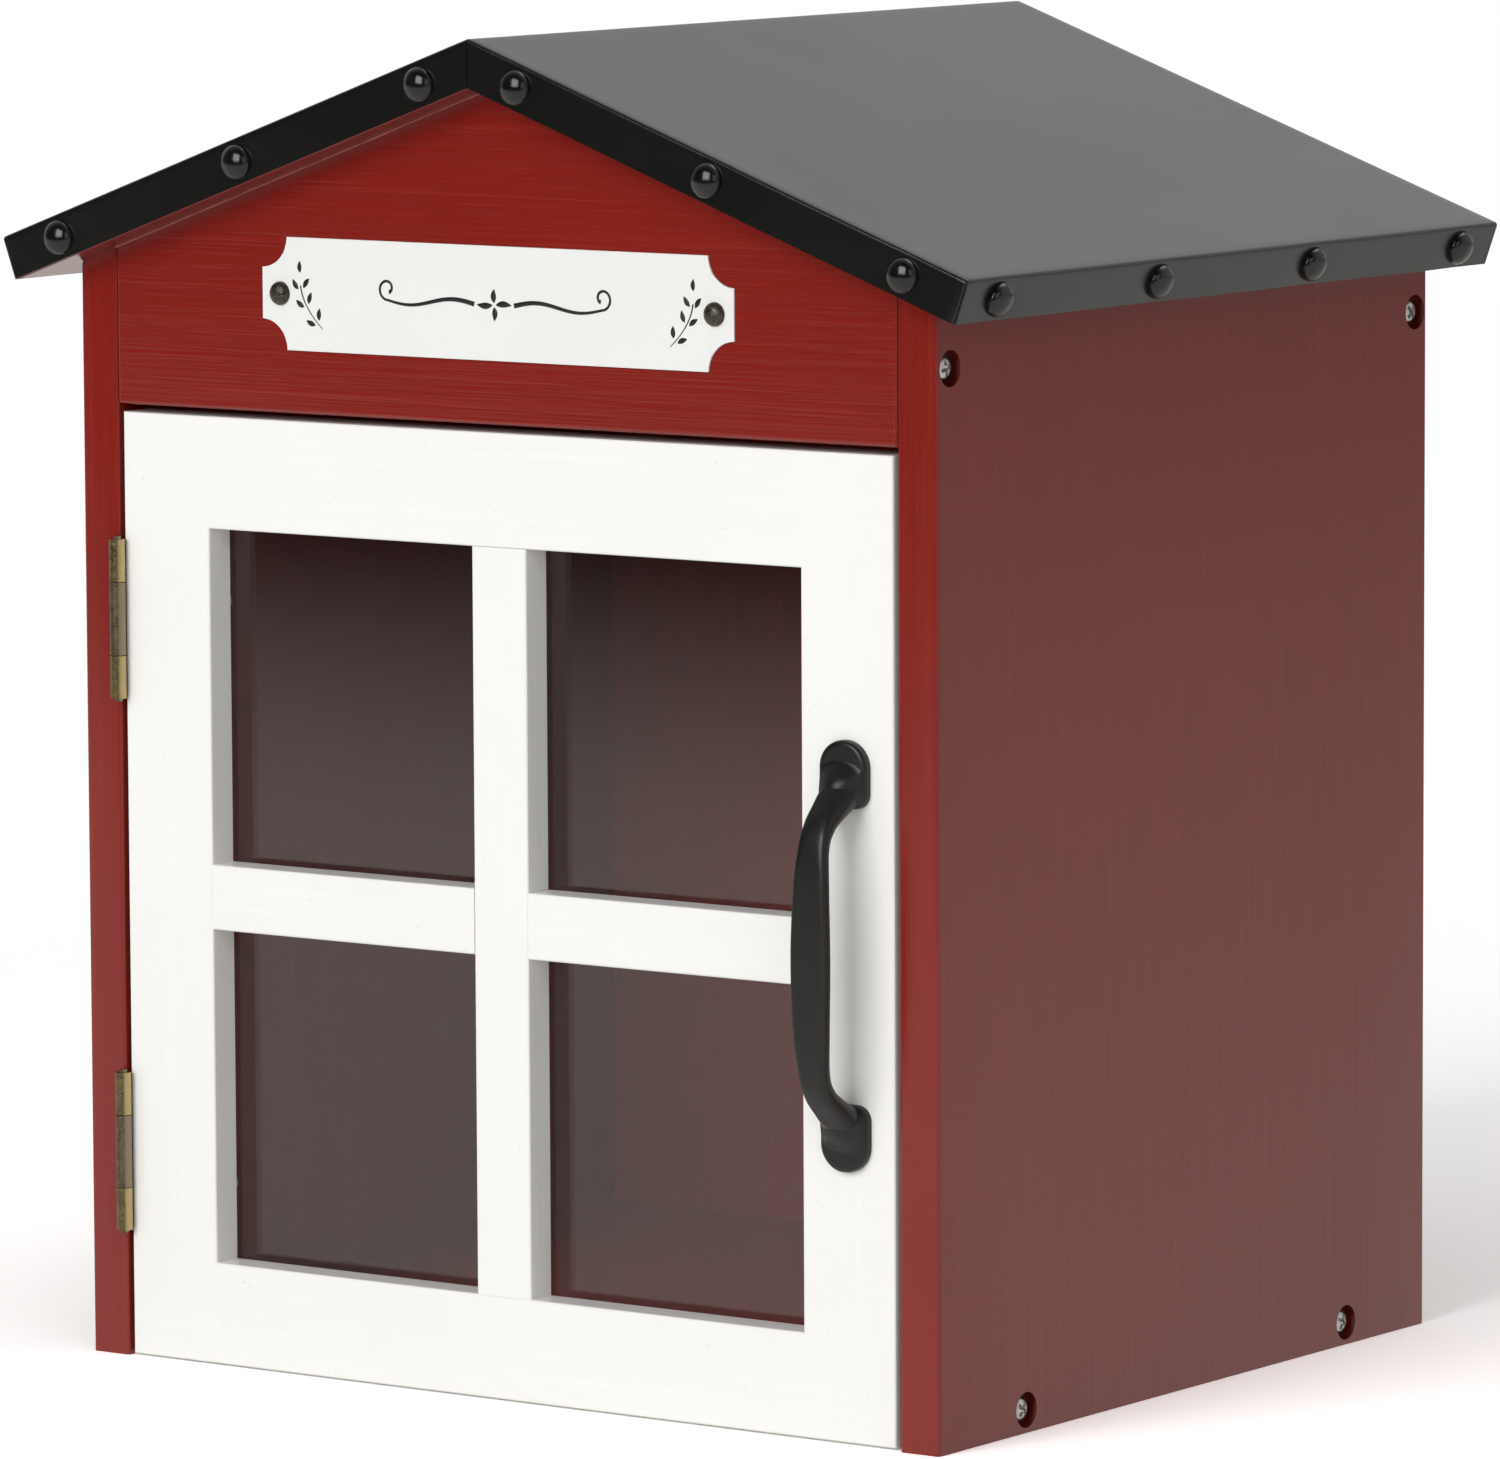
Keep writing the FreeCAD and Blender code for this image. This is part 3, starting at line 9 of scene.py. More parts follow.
import bmesh
import bpy
import numpy as np
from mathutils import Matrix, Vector


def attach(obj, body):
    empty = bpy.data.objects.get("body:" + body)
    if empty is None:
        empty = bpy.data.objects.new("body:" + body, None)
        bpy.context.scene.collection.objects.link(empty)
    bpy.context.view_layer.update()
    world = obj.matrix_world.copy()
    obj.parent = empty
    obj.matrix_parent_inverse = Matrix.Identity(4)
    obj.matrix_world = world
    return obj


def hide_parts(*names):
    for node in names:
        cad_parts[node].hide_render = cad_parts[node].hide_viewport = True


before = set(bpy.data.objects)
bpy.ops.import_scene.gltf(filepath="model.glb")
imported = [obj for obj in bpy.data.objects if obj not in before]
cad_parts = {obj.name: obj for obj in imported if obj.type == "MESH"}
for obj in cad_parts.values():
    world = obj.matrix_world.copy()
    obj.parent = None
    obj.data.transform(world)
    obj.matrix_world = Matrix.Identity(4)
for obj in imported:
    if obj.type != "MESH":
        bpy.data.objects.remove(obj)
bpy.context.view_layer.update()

MM = 0.001
rng = np.random.default_rng(7)
RIGHT, LEFT, FORWARD, REAR = (1, 0, 0), (-1, 0, 0), (0, -1, 0), (0, 1, 0)

# Sizes and places as they are in CAD, in millimetres and radians.
HALF, FRONT, BACK, BOARD = 205.0, -175.0, 175.0, 18.0
INNER = HALF - BOARD
# Roof: runs are measured down a slope from the ridge.
RIDGE, SLOPE = 531.5, math.radians(20)
SIDE_OVERHANG, FRONT_OVERHANG, BACK_OVERHANG = 26, 17.5, 13
EAVE = (HALF + SIDE_OVERHANG) / math.cos(SLOPE)
ROOF_FRONT, ROOF_BACK = FRONT - FRONT_OVERHANG, BACK + BACK_OVERHANG
FASCIA, FOLD, SHEET, ROOF_BOARD = 17.7, 1.5, 0.8, 15
NAIL_LINE, SLOPE_NAIL_INSET, EAVE_NAIL_INSET = 9.2, 27.8, 25.5
SLOPE_NAILS = [SLOPE_NAIL_INSET, EAVE / 2, EAVE - SLOPE_NAIL_INSET]
EAVE_NAILS = np.linspace(ROOF_FRONT + EAVE_NAIL_INSET, ROOF_BACK - EAVE_NAIL_INSET, 4)
# Screws through the boards: y and z of those in the sides, x of those in the back.
SCREW_INSET, UPPER_SCREW_Z, COUNTERBORE_DEPTH = 59.5, 412.0, 4.6
SIDE_SCREWS = [(FRONT + BOARD / 2, UPPER_SCREW_Z), (BACK - BOARD / 2, UPPER_SCREW_Z),
               (FRONT + SCREW_INSET, BOARD / 2), (BACK - SCREW_INSET, BOARD / 2)]
BACK_SCREW_X = [SCREW_INSET - HALF, HALF - SCREW_INSET]
# Sign plate: its middle, its nails and its face, and the ornament's thickness and middle line.
SIGN_Z, SIGN_NAIL_X, PLATE_FACE = 429.0, 104.1, FRONT - 1
PRINT, RULE_Z = 0.1, SIGN_Z - 0.6
# Door: its back, the floor of the pane's rebate, and the opening's left, right, low and high.
DOOR, REBATE = 18, 4.6
DOOR_BACK = FRONT + DOOR
REBATE_FLOOR = DOOR_BACK - REBATE
GLASS = (-141.9, 142.5, 41.6, 334.5)
PANE, PANE_SCREW_INSET, PANE_LAP = 3, 30, 4
# Pull: the middle of its stile, its own middle, and how far from that each foot's screw lies.
STILE_X, PULL_Z, ROOT = 163.75, 188.05, 64.8
# Hinges: their middles, their pins' axis, and the leaves' screws.
HINGES = {"upper": 296.75, "lower": 83.25}
HINGE_X, HINGE_Y = -185.7, -178.2
LEAF_PLAY, LEAF_SCREW_Y, LEAF_SCREW_PITCH = 0.3, FRONT + DOOR / 2, 22
# Magnet catch: its middle, its screws, and its strike on the door.
CATCH_FRONT, CATCH_DEPTH, CATCH_EAR = DOOR_BACK + 2.4, 14, 3
CATCH_Z, CATCH_SCREW_Y, CATCH_SCREW_Z = 317.0, CATCH_FRONT + CATCH_DEPTH * 2 / 3, 18.5
STRIKE_X, STRIKE, STRIKE_SCREW_Z = INNER - 7.5, 1.2, 10
# Heads: a nail's radius and height, and a screw's diameter and height.
ROOF_NAIL, SIGN_NAIL = (7, 4.6), (4.7, 3.2)
WOOD_SCREW, PANE_SCREW, PULL_SCREW = (9.4, 3), (5.6, 1.8), (8, 2.7)
CATCH_SCREW, FLAT_SCREW = (4.8, 1.73), (4.8, 0)
# How far edges are eased by paint or wear, and the angles past which they count as edges.
BOARD_EDGE, ROOF_BOARD_EDGE, DOOR_EDGE, PLASTIC_EDGE = 0.4, 0.5, 0.3, 0.4
PLATE_EDGE, SHEET_EDGE, LEAF_EDGE, PIN_EDGE, STRIKE_EDGE = 0.3, 0.22, 0.15, 0.4, 0.2
FLAT_ANGLE, HEAD_ANGLE, ROUND_ANGLE, CAST_ANGLE = 30, 40, 50, 60


# Shapes

def quads(rows, columns, closed=False):
    """Faces of a grid of points that runs row by row; closed joins its last column to its first."""
    row, column = np.meshgrid(np.arange(rows - 1), np.arange(columns - (not closed)), indexing="ij")
    after = (column + 1) % columns
    corners = [row * columns + column, row * columns + after,
               (row + 1) * columns + after, (row + 1) * columns + column]
    return np.stack(corners, -1).reshape(-1, 4)


def surface(grid, closed=False):
    """The points and faces of one grid, given as an array of rows, columns and x, y, z."""
    rows, columns, _ = grid.shape
    return grid.reshape(-1, 3), quads(rows, columns, closed)


def capped(grid):
    """A tube from rings of points, closed at each end by drawing a ring in to its middle."""
    ends = [np.broadcast_to(grid[k].mean(0), (1, *grid.shape[1:])) for k in (0, -1)]
    return surface(np.concatenate([ends[0], grid, ends[1]]), closed=True)


def turned(profile, angle):
    """Rings of points about z for (radius, height) pairs: x = r cos a, y = r sin a, z = h."""
    radius, height = np.array(profile, float).T[:, :, None]
    return np.stack([radius * np.cos(angle), radius * np.sin(angle), height + 0 * angle], -1)


def facing(points, spot, way, spin, lean):
    """Points drawn about z, turned by spin, tilted by lean, laid along a way and set on a spot."""
    out = np.array(way, float) / np.linalg.norm(way)
    side = np.cross(out, (0, 0, 1) if abs(out[2]) < 0.9 else (0, 1, 0))
    side /= np.linalg.norm(side)
    up = np.cross(side, out)
    c, s = math.cos(spin), math.sin(spin)
    x = points[:, 0] * c - points[:, 1] * s
    y = points[:, 0] * s + points[:, 1] * c
    z = points[:, 2] + x * lean[0] + y * lean[1]
    return np.outer(x, side) + np.outer(y, up) + np.outer(z, out) + np.array(spot, float)


def through(values, count):
    """A smooth line through the values: a Catmull-Rom cubic between each two neighbours."""
    values = np.array(values, float)
    padded = np.concatenate([2 * values[:1] - values[1:2], values, 2 * values[-1:] - values[-2:-1]])
    place = np.linspace(0, len(values) - 1, count)
    i = np.minimum(place.astype(int), len(values) - 2)
    t = place - i
    a, b, c, d = (padded[i + k] for k in range(4))
    return 0.5 * (2 * b + (c - a) * t + (2 * a - 5 * b + 4 * c - d) * t ** 2
                  + (3 * b - a - 3 * c + d) * t ** 3)


def set_up(name, mesh, material, body, nodes, angle):
    """Puts a mesh into the scene on one body, in place of CAD nodes and sharp past an angle."""
    mesh.materials.clear()
    mesh.materials.append(material)
    mesh.shade_smooth()
    mesh.set_sharp_from_angle(angle=math.radians(angle))
    made = bpy.data.objects.new(name, mesh)
    bpy.context.scene.collection.objects.link(made)
    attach(made, body)
    if nodes:
        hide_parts(*nodes)
    return made


def piece(name, surfaces, material, body, nodes, angle=HEAD_ANGLE, shell=None):
    """One object made of several surfaces, welded, with its faces turned outwards.

    shell is a point behind an open sheet, from which its faces look away.
    """
    points, faces, start = [], [], 0
    for spots, corners in surfaces:
        points.append(spots * MM)
        faces += (corners + start).tolist()
        start += len(spots)
    mesh = bpy.data.meshes.new(name)
    mesh.from_pydata(np.concatenate(points).tolist(), [], faces)
    work = bmesh.new()
    work.from_mesh(mesh)
    bmesh.ops.remove_doubles(work, verts=work.verts, dist=0.002 * MM)
    bmesh.ops.dissolve_degenerate(work, edges=work.edges, dist=0.0001 * MM)
    bmesh.ops.recalc_face_normals(work, faces=work.faces)
    if shell is not None:
        middle = Vector(shell) * MM
        outward = sum((f.calc_center_median() - middle).dot(f.normal) * f.calc_area()
                      for f in work.faces)
        if outward < 0:
            bmesh.ops.reverse_faces(work, faces=work.faces)
    work.to_mesh(mesh)
    work.free()
    return set_up(name, mesh, material, body, nodes, angle)


def eased(made, width, angle):
    """Rounds an object's edges that are sharper than an angle."""
    rounding = made.modifiers.new("eased_edges", "BEVEL")
    rounding.width = width * MM
    rounding.segments = 2
    rounding.limit_method = "ANGLE"
    rounding.angle_limit = math.radians(angle)
    rounding.harden_normals = True


def thickened(made, thickness):
    """Gives an open sheet its thickness, behind the side that its faces look to."""
    skin = made.modifiers.new("thickness", "SOLIDIFY")
    skin.thickness = thickness * MM
    skin.offset = -1


def finished(node, material, body, bevel=0, angle=FLAT_ANGLE):
    """A welded copy of a CAD node, smooth over its curves and with its sharp edges eased."""
    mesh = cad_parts[node].data.copy()
    work = bmesh.new()
    work.from_mesh(mesh)
    bmesh.ops.remove_doubles(work, verts=work.verts, dist=0.001 * MM)
    work.to_mesh(mesh)
    work.free()
    # The file's own normals belong to the corners before the weld.
    mesh.attributes.remove(mesh.attributes["custom_normal"])
    made = set_up(node + "_finished", mesh, material, body, [node], angle)
    if bevel:
        eased(made, bevel, angle)
    return made


# Materials

def tone(code):
    """An sRGB hex colour as linear red, green, blue and alpha."""
    parts = np.array([int(code[i:i + 2], 16) for i in (0, 2, 4)]) / 255
    linear = np.where(parts <= 0.04045, parts / 12.92, ((parts + 0.055) / 1.055) ** 2.4)
    return (*(float(v) for v in linear), 1.0)


def add(tree, kind, inputs=None, **settings):
    """Adds a node; inputs gives its live sockets, by name or place, values or what feeds them.

    A node that feeds a socket stands for its own first live output.
    """
    made = tree.nodes.new(kind)
    for name, value in settings.items():
        setattr(made, name, value)
    live = [socket for socket in made.inputs if socket.enabled]
    for key, value in (inputs or {}).items():
        target = live[key] if isinstance(key, int) else next(s for s in live if s.name == key)
        if isinstance(value, bpy.types.Node):
            value = next(socket for socket in value.outputs if socket.enabled)
        if isinstance(value, bpy.types.NodeSocket):
            tree.links.new(value, target)
        else:
            target.default_value = value
    return made


def blank_tree(owner):
    """The emptied node tree of a new material or world."""
    owner.use_nodes = True
    owner.node_tree.nodes.clear()
    return owner.node_tree


def drawn_out(grain, long, wide):
    """Waves in a metre each way, for a pattern of marks so many millimetres long and wide."""
    return [1 / MM / (long if axis == grain else wide) for axis in "xyz"]


def painted_pine(name, grain, deep, full, thin, pit, bores=()):
    """Two brushed coats of satin oil paint on planed pine.

    Grain lines about 2 mm apart and 110 mm long stand up a little through the film, and the
    colour is a shade thinner on them. Brush marks 0.7 mm apart lie along the same way, and here
    and there a pore of 1 by 3 mm has drawn the paint in. bores lists the y and z of the screw
    bores. Round each, through the whole board, the colour is painted far darker as painted shade
    on the bores' walls.
    """
    # Painted shade in the screw bores: how far it reaches round each bore, and its colour.
    bore_shade_reach, bore_painted_shade = 7.1, tone("5c1812")
    made = bpy.data.materials.new(name)
    tree = blank_tree(made)
    spot = add(tree, "ShaderNodeTexCoord").outputs["Object"]

    lines = add(tree, "ShaderNodeMapping", {"Vector": spot,
                                            "Scale": drawn_out(grain, 111.1, 2.174)})
    year = add(tree, "ShaderNodeTexNoise", {"Vector": lines, "Scale": 1.0, "Detail": 3.0,
                                            "Roughness": 0.55, "Distortion": 0.25})
    strokes = add(tree, "ShaderNodeMapping", {"Vector": spot,
                                              "Scale": drawn_out(grain, 38.46, 2 / 3)})
    brush = add(tree, "ShaderNodeTexNoise", {"Vector": strokes, "Scale": 1.0, "Detail": 2.0})
    dots = add(tree, "ShaderNodeMapping", {"Vector": spot,
                                           "Scale": drawn_out(grain, 3.03, 10 / 9)})
    pore = add(tree, "ShaderNodeTexNoise", {"Vector": dots, "Scale": 1.0, "Detail": 1.0})
    cloud = add(tree, "ShaderNodeTexNoise", {"Vector": spot, "Scale": 1 / (71.43 * MM),
                                             "Detail": 3.0})

    colour = add(tree, "ShaderNodeMix", {"Factor": cloud, "A": tone(deep), "B": tone(full)},
                 data_type="RGBA")
    raised = add(tree, "ShaderNodeMapRange", {"Value": year, "From Min": 0.54, "From Max": 0.74,
                                              "To Max": 0.4})
    colour = add(tree, "ShaderNodeMix", {"Factor": raised, "A": colour, "B": tone(thin)},
                 data_type="RGBA")
    sunk = add(tree, "ShaderNodeMapRange", {"Value": pore, "From Min": 0.765, "From Max": 0.82})
    colour = add(tree, "ShaderNodeMix", {"Factor": sunk, "A": colour, "B": tone(pit)},
                 data_type="RGBA")
    # Painted shade: round each screw bore, through the whole board, the colour turns far darker.
    if bores:
        flat = add(tree, "ShaderNodeVectorMath", {0: spot, 1: (0, 1, 1)}, operation="MULTIPLY")
        near = 1.0
        for y, z in bores:
            away = add(tree, "ShaderNodeVectorMath", {0: flat, 1: (0, y * MM, z * MM)},
                       operation="DISTANCE")
            near = add(tree, "ShaderNodeMath", {0: away, 1: near}, operation="MINIMUM")
        inside = add(tree, "ShaderNodeMath", {0: near, 1: bore_shade_reach * MM}, operation="LESS_THAN")
        colour = add(tree, "ShaderNodeMix", {"Factor": inside, "A": colour, "B": bore_painted_shade},
                     data_type="RGBA")

    gloss = add(tree, "ShaderNodeMapRange", {"Value": brush, "From Min": 0.3, "From Max": 0.7,
                                             "To Min": 0.15, "To Max": 0.22})
    height = add(tree, "ShaderNodeMath", {0: year, 1: 0.75}, operation="MULTIPLY")
    height = add(tree, "ShaderNodeMath", {0: brush, 1: 0.3, 2: height}, operation="MULTIPLY_ADD")
    height = add(tree, "ShaderNodeMath", {0: sunk, 1: -0.5, 2: height}, operation="MULTIPLY_ADD")
    bump = add(tree, "ShaderNodeBump", {"Height": height, "Strength": 0.26, "Distance": 0.5 * MM})
    shader = add(tree, "ShaderNodeBsdfPrincipled", {"Base Color": colour, "Roughness": gloss,
                                                    "IOR": 1.5, "Normal": bump})
    add(tree, "ShaderNodeOutputMaterial", {"Surface": shader})
    return made


def smooth_finish(name, low, high, rough, relief, patch, metal=0.0, worn=None, painted_highlight=None):
    """Bare or coated metal, enamel or moulding, whose tone and gloss drift in soft patches.

    patch is the width of a patch in millimetres, and a fine grit of 0.4 mm lies over it. worn is
    the colour of the metal that shows in specks. painted_highlight is a painted highlight: a
    brighter colour laid on the side of a hinge's knuckle that faces just forward of +X from the
    pin.
    """
    made = bpy.data.materials.new(name)
    tree = blank_tree(made)
    spot = add(tree, "ShaderNodeTexCoord").outputs["Object"]
    drift = add(tree, "ShaderNodeTexNoise", {"Vector": spot, "Scale": 1 / (patch * MM),
                                             "Detail": 4.0, "Roughness": 0.6})
    grit = add(tree, "ShaderNodeTexNoise", {"Vector": spot, "Scale": 1 / (0.3846 * MM),
                                            "Detail": 2.0})
    share = add(tree, "ShaderNodeMapRange", {"Value": drift, "From Min": 0.35, "From Max": 0.65})
    colour = add(tree, "ShaderNodeMix", {"Factor": share, "A": tone(low), "B": tone(high)},
                 data_type="RGBA")
    if worn:
        speck = add(tree, "ShaderNodeMapRange", {"Value": grit, "From Min": 0.56,
                                                 "From Max": 0.68})
        colour = add(tree, "ShaderNodeMix", {"Factor": speck, "A": colour, "B": tone(worn)},
                     data_type="RGBA")
    # Painted highlight: a brighter band on the side of the knuckle that faces just forward of +X.
    if painted_highlight:
        outward = add(tree, "ShaderNodeMapping", {
            "Vector": spot, "Location": (-HINGE_X * MM, -HINGE_Y * MM, 0), "Scale": (1, 1, 0)})
        outward = add(tree, "ShaderNodeVectorMath", {0: outward}, operation="NORMALIZE")
        highlight_way = (math.cos(math.radians(-10)), math.sin(math.radians(-10)), 0)
        aside = add(tree, "ShaderNodeVectorMath", {0: outward, 1: highlight_way},
                    operation="DOT_PRODUCT")
        highlight_band = add(tree, "ShaderNodeMapRange", {"Value": aside, "From Min": 0.72,
                                                "From Max": 0.93})
        colour = add(tree, "ShaderNodeMix", {"Factor": highlight_band, "A": colour, "B": tone(painted_highlight)},
                     data_type="RGBA")
    gloss = add(tree, "ShaderNodeMapRange", {
        "Value": drift, "From Min": 0.3, "From Max": 0.7, "To Min": rough * 0.88,
        "To Max": rough * 1.14})
    bump = add(tree, "ShaderNodeBump", {"Height": grit, "Strength": relief, "Distance": 0.1 * MM})
    shader = add(tree, "ShaderNodeBsdfPrincipled", {
        "Base Color": colour, "Roughness": gloss, "Metallic": metal, "Normal": bump})
    add(tree, "ShaderNodeOutputMaterial", {"Surface": shader})
    return made


def clear_acrylic():
    """Clear cast acrylic with a trace of dust: it refracts what is seen and lets lamps through."""
    made = bpy.data.materials.new("clear_acrylic_sheet")
    tree = blank_tree(made)
    spot = add(tree, "ShaderNodeTexCoord").outputs["Object"]
    dust = add(tree, "ShaderNodeTexNoise", {"Vector": spot, "Scale": 1 / (11.11 * MM),
                                            "Detail": 5.0, "Roughness": 0.7})
    haze = add(tree, "ShaderNodeMapRange", {"Value": dust, "From Min": 0.45, "From Max": 0.85,
                                            "To Max": 0.012})
    shader = add(tree, "ShaderNodeBsdfPrincipled", {
        "Base Color": tone("f0f0ee"), "Transmission Weight": 1.0, "IOR": 1.49, "Roughness": haze})
    lamplight = add(tree, "ShaderNodeLightPath").outputs["Is Shadow Ray"]
    open_air = add(tree, "ShaderNodeBsdfTransparent", {"Color": tone("f4f4f2")})
    mixed = add(tree, "ShaderNodeMixShader", {0: lamplight, 1: shader, 2: open_air})
    add(tree, "ShaderNodeOutputMaterial", {"Surface": mixed})
    return made


# Satin oil paint, whose soft highlights the brush marks break. In order: its deep and its full
# tone, its tone on the raised grain, and that in the pores.
RED = ("7a1911", "851e16", "91281e", "4a0d09")
WHITE = ("f1efeb", "f5f4f1", "f8f7f5", "e4e1da")
RED_ACROSS = painted_pine("red_satin_paint_grain_across", "x", *RED)
RED_UPRIGHT = painted_pine("red_satin_paint_grain_upright", "z", *RED)
# The side boards' paint also carries painted shade in their screw bores.
RED_SIDES = painted_pine("red_satin_paint_side_boards_bore_shade", "z", *RED, SIDE_SCREWS)
RED_DEEPWAYS = painted_pine("red_satin_paint_grain_deepways", "y", *RED)
WHITE_ACROSS = painted_pine("white_satin_paint_grain_across", "x", *WHITE)
WHITE_UPRIGHT = painted_pine("white_satin_paint_grain_upright", "z", *WHITE)
# Steel sheet with a baked satin black coat: soft gloss, hardly any texture.
BLACK_SHEET = smooth_finish("black_coated_sheet", "0f0e0d", "121110", rough=0.24, relief=0.04,
                            patch=240)
# Cast zinc with a matt black stove enamel, a little grainy from the casting.
BLACK_CASTING = smooth_finish("matt_black_casting", "070706", "0b0b0a", rough=0.36, relief=0.08,
                              patch=25)
# Domed steel nails, blacked and oiled: glossier than the sheet, uneven from the hammer.
BLACKED_STEEL = smooth_finish("blacked_steel", "0a0a0a", "151514", rough=0.16, relief=0.2,
                              patch=5)
# Steel nails with an antique bronze plating that is worn in specks.
BRONZED_STEEL = smooth_finish("bronzed_steel", "2b2722", "4a443a", rough=0.36, relief=0.3,
                              patch=3, metal=0.7, worn="8a8172")
# Darkened, rubbed-back brass: bright specks in a brown skin, and a painted highlight on the right.
OLD_BRASS = smooth_finish("darkened_brass", "50452f", "736446", rough=0.3, relief=0.2, patch=3,
                          metal=0.85, worn="a8966c", painted_highlight="bca878")
# The same brass, darkened further, with duller specks and a dimmer painted highlight.
BROWN_BRASS = smooth_finish("darkened_brass_brown", "4c4232", "6c5f4b", rough=0.36, relief=0.2,
                            patch=3, metal=0.8, worn="978769", painted_highlight="958570")
# Painter's filler run along a joint, coloured paler than the red paint as a painted highlight.
FILLER_HIGHLIGHT = smooth_finish("joint_filler_painted_highlight", "8e3c34", "a8584e", rough=0.3, relief=0.1,
                           patch=12)
# Zinc-plated steel screws, bright and slightly clouded.
ZINC_STEEL = smooth_finish("zinc_plated_steel", "a9a8a4", "c9c7c2", rough=0.3, relief=0.15,
                           patch=3, metal=1.0)
# White enamel fired on steel: smooth and glossy.
ENAMEL = smooth_finish("white_enamel", "e8e8e6", "ebebe9", rough=0.22, relief=0.03, patch=180)
# Black printed enamel of the ornament, a little duller than the white.
INK = smooth_finish("black_print", "121211", "1b1a19", rough=0.4, relief=0.1, patch=2)
# Injection-moulded ABS of the catch, cream coloured with a fine moulded grain.
CREAM_ABS = smooth_finish("cream_abs", "e9e4d6", "f0ecdf", rough=0.4, relief=0.25, patch=10)
# Sintered magnet, dull and dark grey.
DARK_MAGNET = smooth_finish("dark_magnet", "3a3a3b", "48484a", rough=0.6, relief=0.5, patch=4,
                            metal=0.3)
CLEAR_SHEET = clear_acrylic()

# Nodes that stay as they are in CAD: the screws under the sheet, and the inside of the catch.
NODE_FINISH = {
    "roof_board_screws": ZINC_STEEL, "catch_magnet": DARK_MAGNET, "catch_poles": ZINC_STEEL,
}
CABINET_BOARDS = {
    "side_panel_left": RED_SIDES, "side_panel_right": RED_SIDES,
    "gable_front": RED_ACROSS, "back_panel": RED_UPRIGHT, "bottom_panel": RED_ACROSS,
}
DOOR_FRAME = {
    "door_stile_left": WHITE_UPRIGHT, "door_stile_right": WHITE_UPRIGHT,
    "door_rail_bottom": WHITE_ACROSS, "door_rail_top": WHITE_ACROSS,
    "muntin_upright": WHITE_UPRIGHT, "muntin_cross": WHITE_ACROSS,
}


# Roof

def roof_point(side, run, y, out):
    """A spot over a slope, given its run from the ridge, its y and its height off the slope.

    The ridge fold is a hyperbola: z falls by tan(slope) times the root of x squared plus the
    square of its width, so the two slopes run into each other.
    """
    ridge_width = 0.6
    x = run * math.cos(SLOPE) + out * math.sin(SLOPE)
    z = RIDGE - run * math.sin(SLOPE) + out * math.cos(SLOPE)
    z = z - math.tan(SLOPE) * (np.sqrt(x ** 2 + ridge_width ** 2) - np.abs(x))
    return np.stack([side * x, y + 0 * x, z], -1)


def roof_sheet():
    """The folded sheet as one skin, given its thickness inwards.

    Each slope is a flat grid with a ripple of a tenth of a millimetre, a product of sines. Round
    it runs a skirt: a profile of a quarter-circle fold and a straight flange, carried along the
    front edge, the eave and the back edge, and round the corners on quarter circles. The flange
    is slit at each corner and at the ridge. Each nail pulls the flange in by a Gauss bell, and
    between nails the metal springs out by a sine that grows with the square of the depth.
    """
    half_slit, inside = 0.2, (0, 0, 300)
    reach = EAVE - FOLD
    near_y, far_y = ROOF_FRONT + FOLD, ROOF_BACK - FOLD
    bend = np.linspace(0, math.pi / 2, 6)
    out = np.concatenate([FOLD * np.sin(bend), np.full(9, FOLD)])[:, None]
    down = np.concatenate([FOLD * (1 - np.cos(bend)),
                           np.linspace(FOLD, FASCIA, 10)[1:]])[:, None]
    bent = np.sin(np.minimum(down / FOLD, 1) * math.pi / 2)
    share = np.concatenate([[0, 0.002, 0.006], np.linspace(0.02, 1, 62)])
    depth = near_y + np.linspace(0, 1, 96) * (far_y - near_y)
    corner = np.radians([12, 24, 37, 53, 66, 78])

    def pushed(along, nails, bell, dent, swell=0.0):
        """How far the flange stands out along one edge; bell is the width of a dent, squared."""
        pull = sum(np.exp(-((along - nail) ** 2 + (down - NAIL_LINE) ** 2) / bell)
                   for nail in nails)
        return out + (swell * (down / FASCIA) ** 2 - dent * pull) * bent

    parts = []
    for side in (1, -1):
        run, y = np.meshgrid(share * reach, depth, indexing="ij")
        ripple = (0.1 * np.sin(y / 61 + side) * np.sin(run / 47) * np.sin(math.pi * run / reach)
                  * np.sin(math.pi * (y - near_y) / (far_y - near_y)))
        parts.append(surface(roof_point(side, run, y, ripple)))

        first = np.where(down > 0, (half_slit + down * math.sin(SLOPE)) / math.cos(SLOPE), 0)
        slope_run = first + (reach - first) * share
        eave_y = depth + 0 * down
        front = pushed(slope_run, SLOPE_NAILS, bell=160, dent=0.3,
                       swell=0.1 * np.sin(slope_run / 19 + side))
        eave = pushed(eave_y, EAVE_NAILS, bell=220, dent=0.42,
                      swell=0.16 * np.sin(eave_y / 23 + 2 * side))
        back = pushed(slope_run, SLOPE_NAILS, bell=160, dent=0.3)
        turn_run, turn_y = reach + out * np.sin(corner), out * np.cos(corner)
        runs = np.concatenate([slope_run, turn_run, reach + eave, turn_run[:, ::-1],
                               slope_run[:, ::-1]], 1)
        ys = np.concatenate([near_y - front, near_y - turn_y, eave_y,
                             far_y + turn_y[:, ::-1], far_y + back[:, ::-1]], 1)
        points, faces = surface(roof_point(side, runs, ys, -down + 0 * runs))

        row, column = np.divmod(faces[:, 0], runs.shape[1])
        middle = len(corner) // 2 - 1
        slits = [len(share) + middle, len(share) + len(corner) + len(depth) + middle]
        flange = row >= len(bend) - 1
        parts.append((points, faces[~(flange & np.isin(column, slits))]))
    made = piece("roof_sheet_folded", parts, BLACK_SHEET, "cabinet", ["roof_sheet"],
                 angle=ROUND_ANGLE, shell=inside)
    thickened(made, SHEET)
    eased(made, SHEET_EDGE, ROUND_ANGLE)


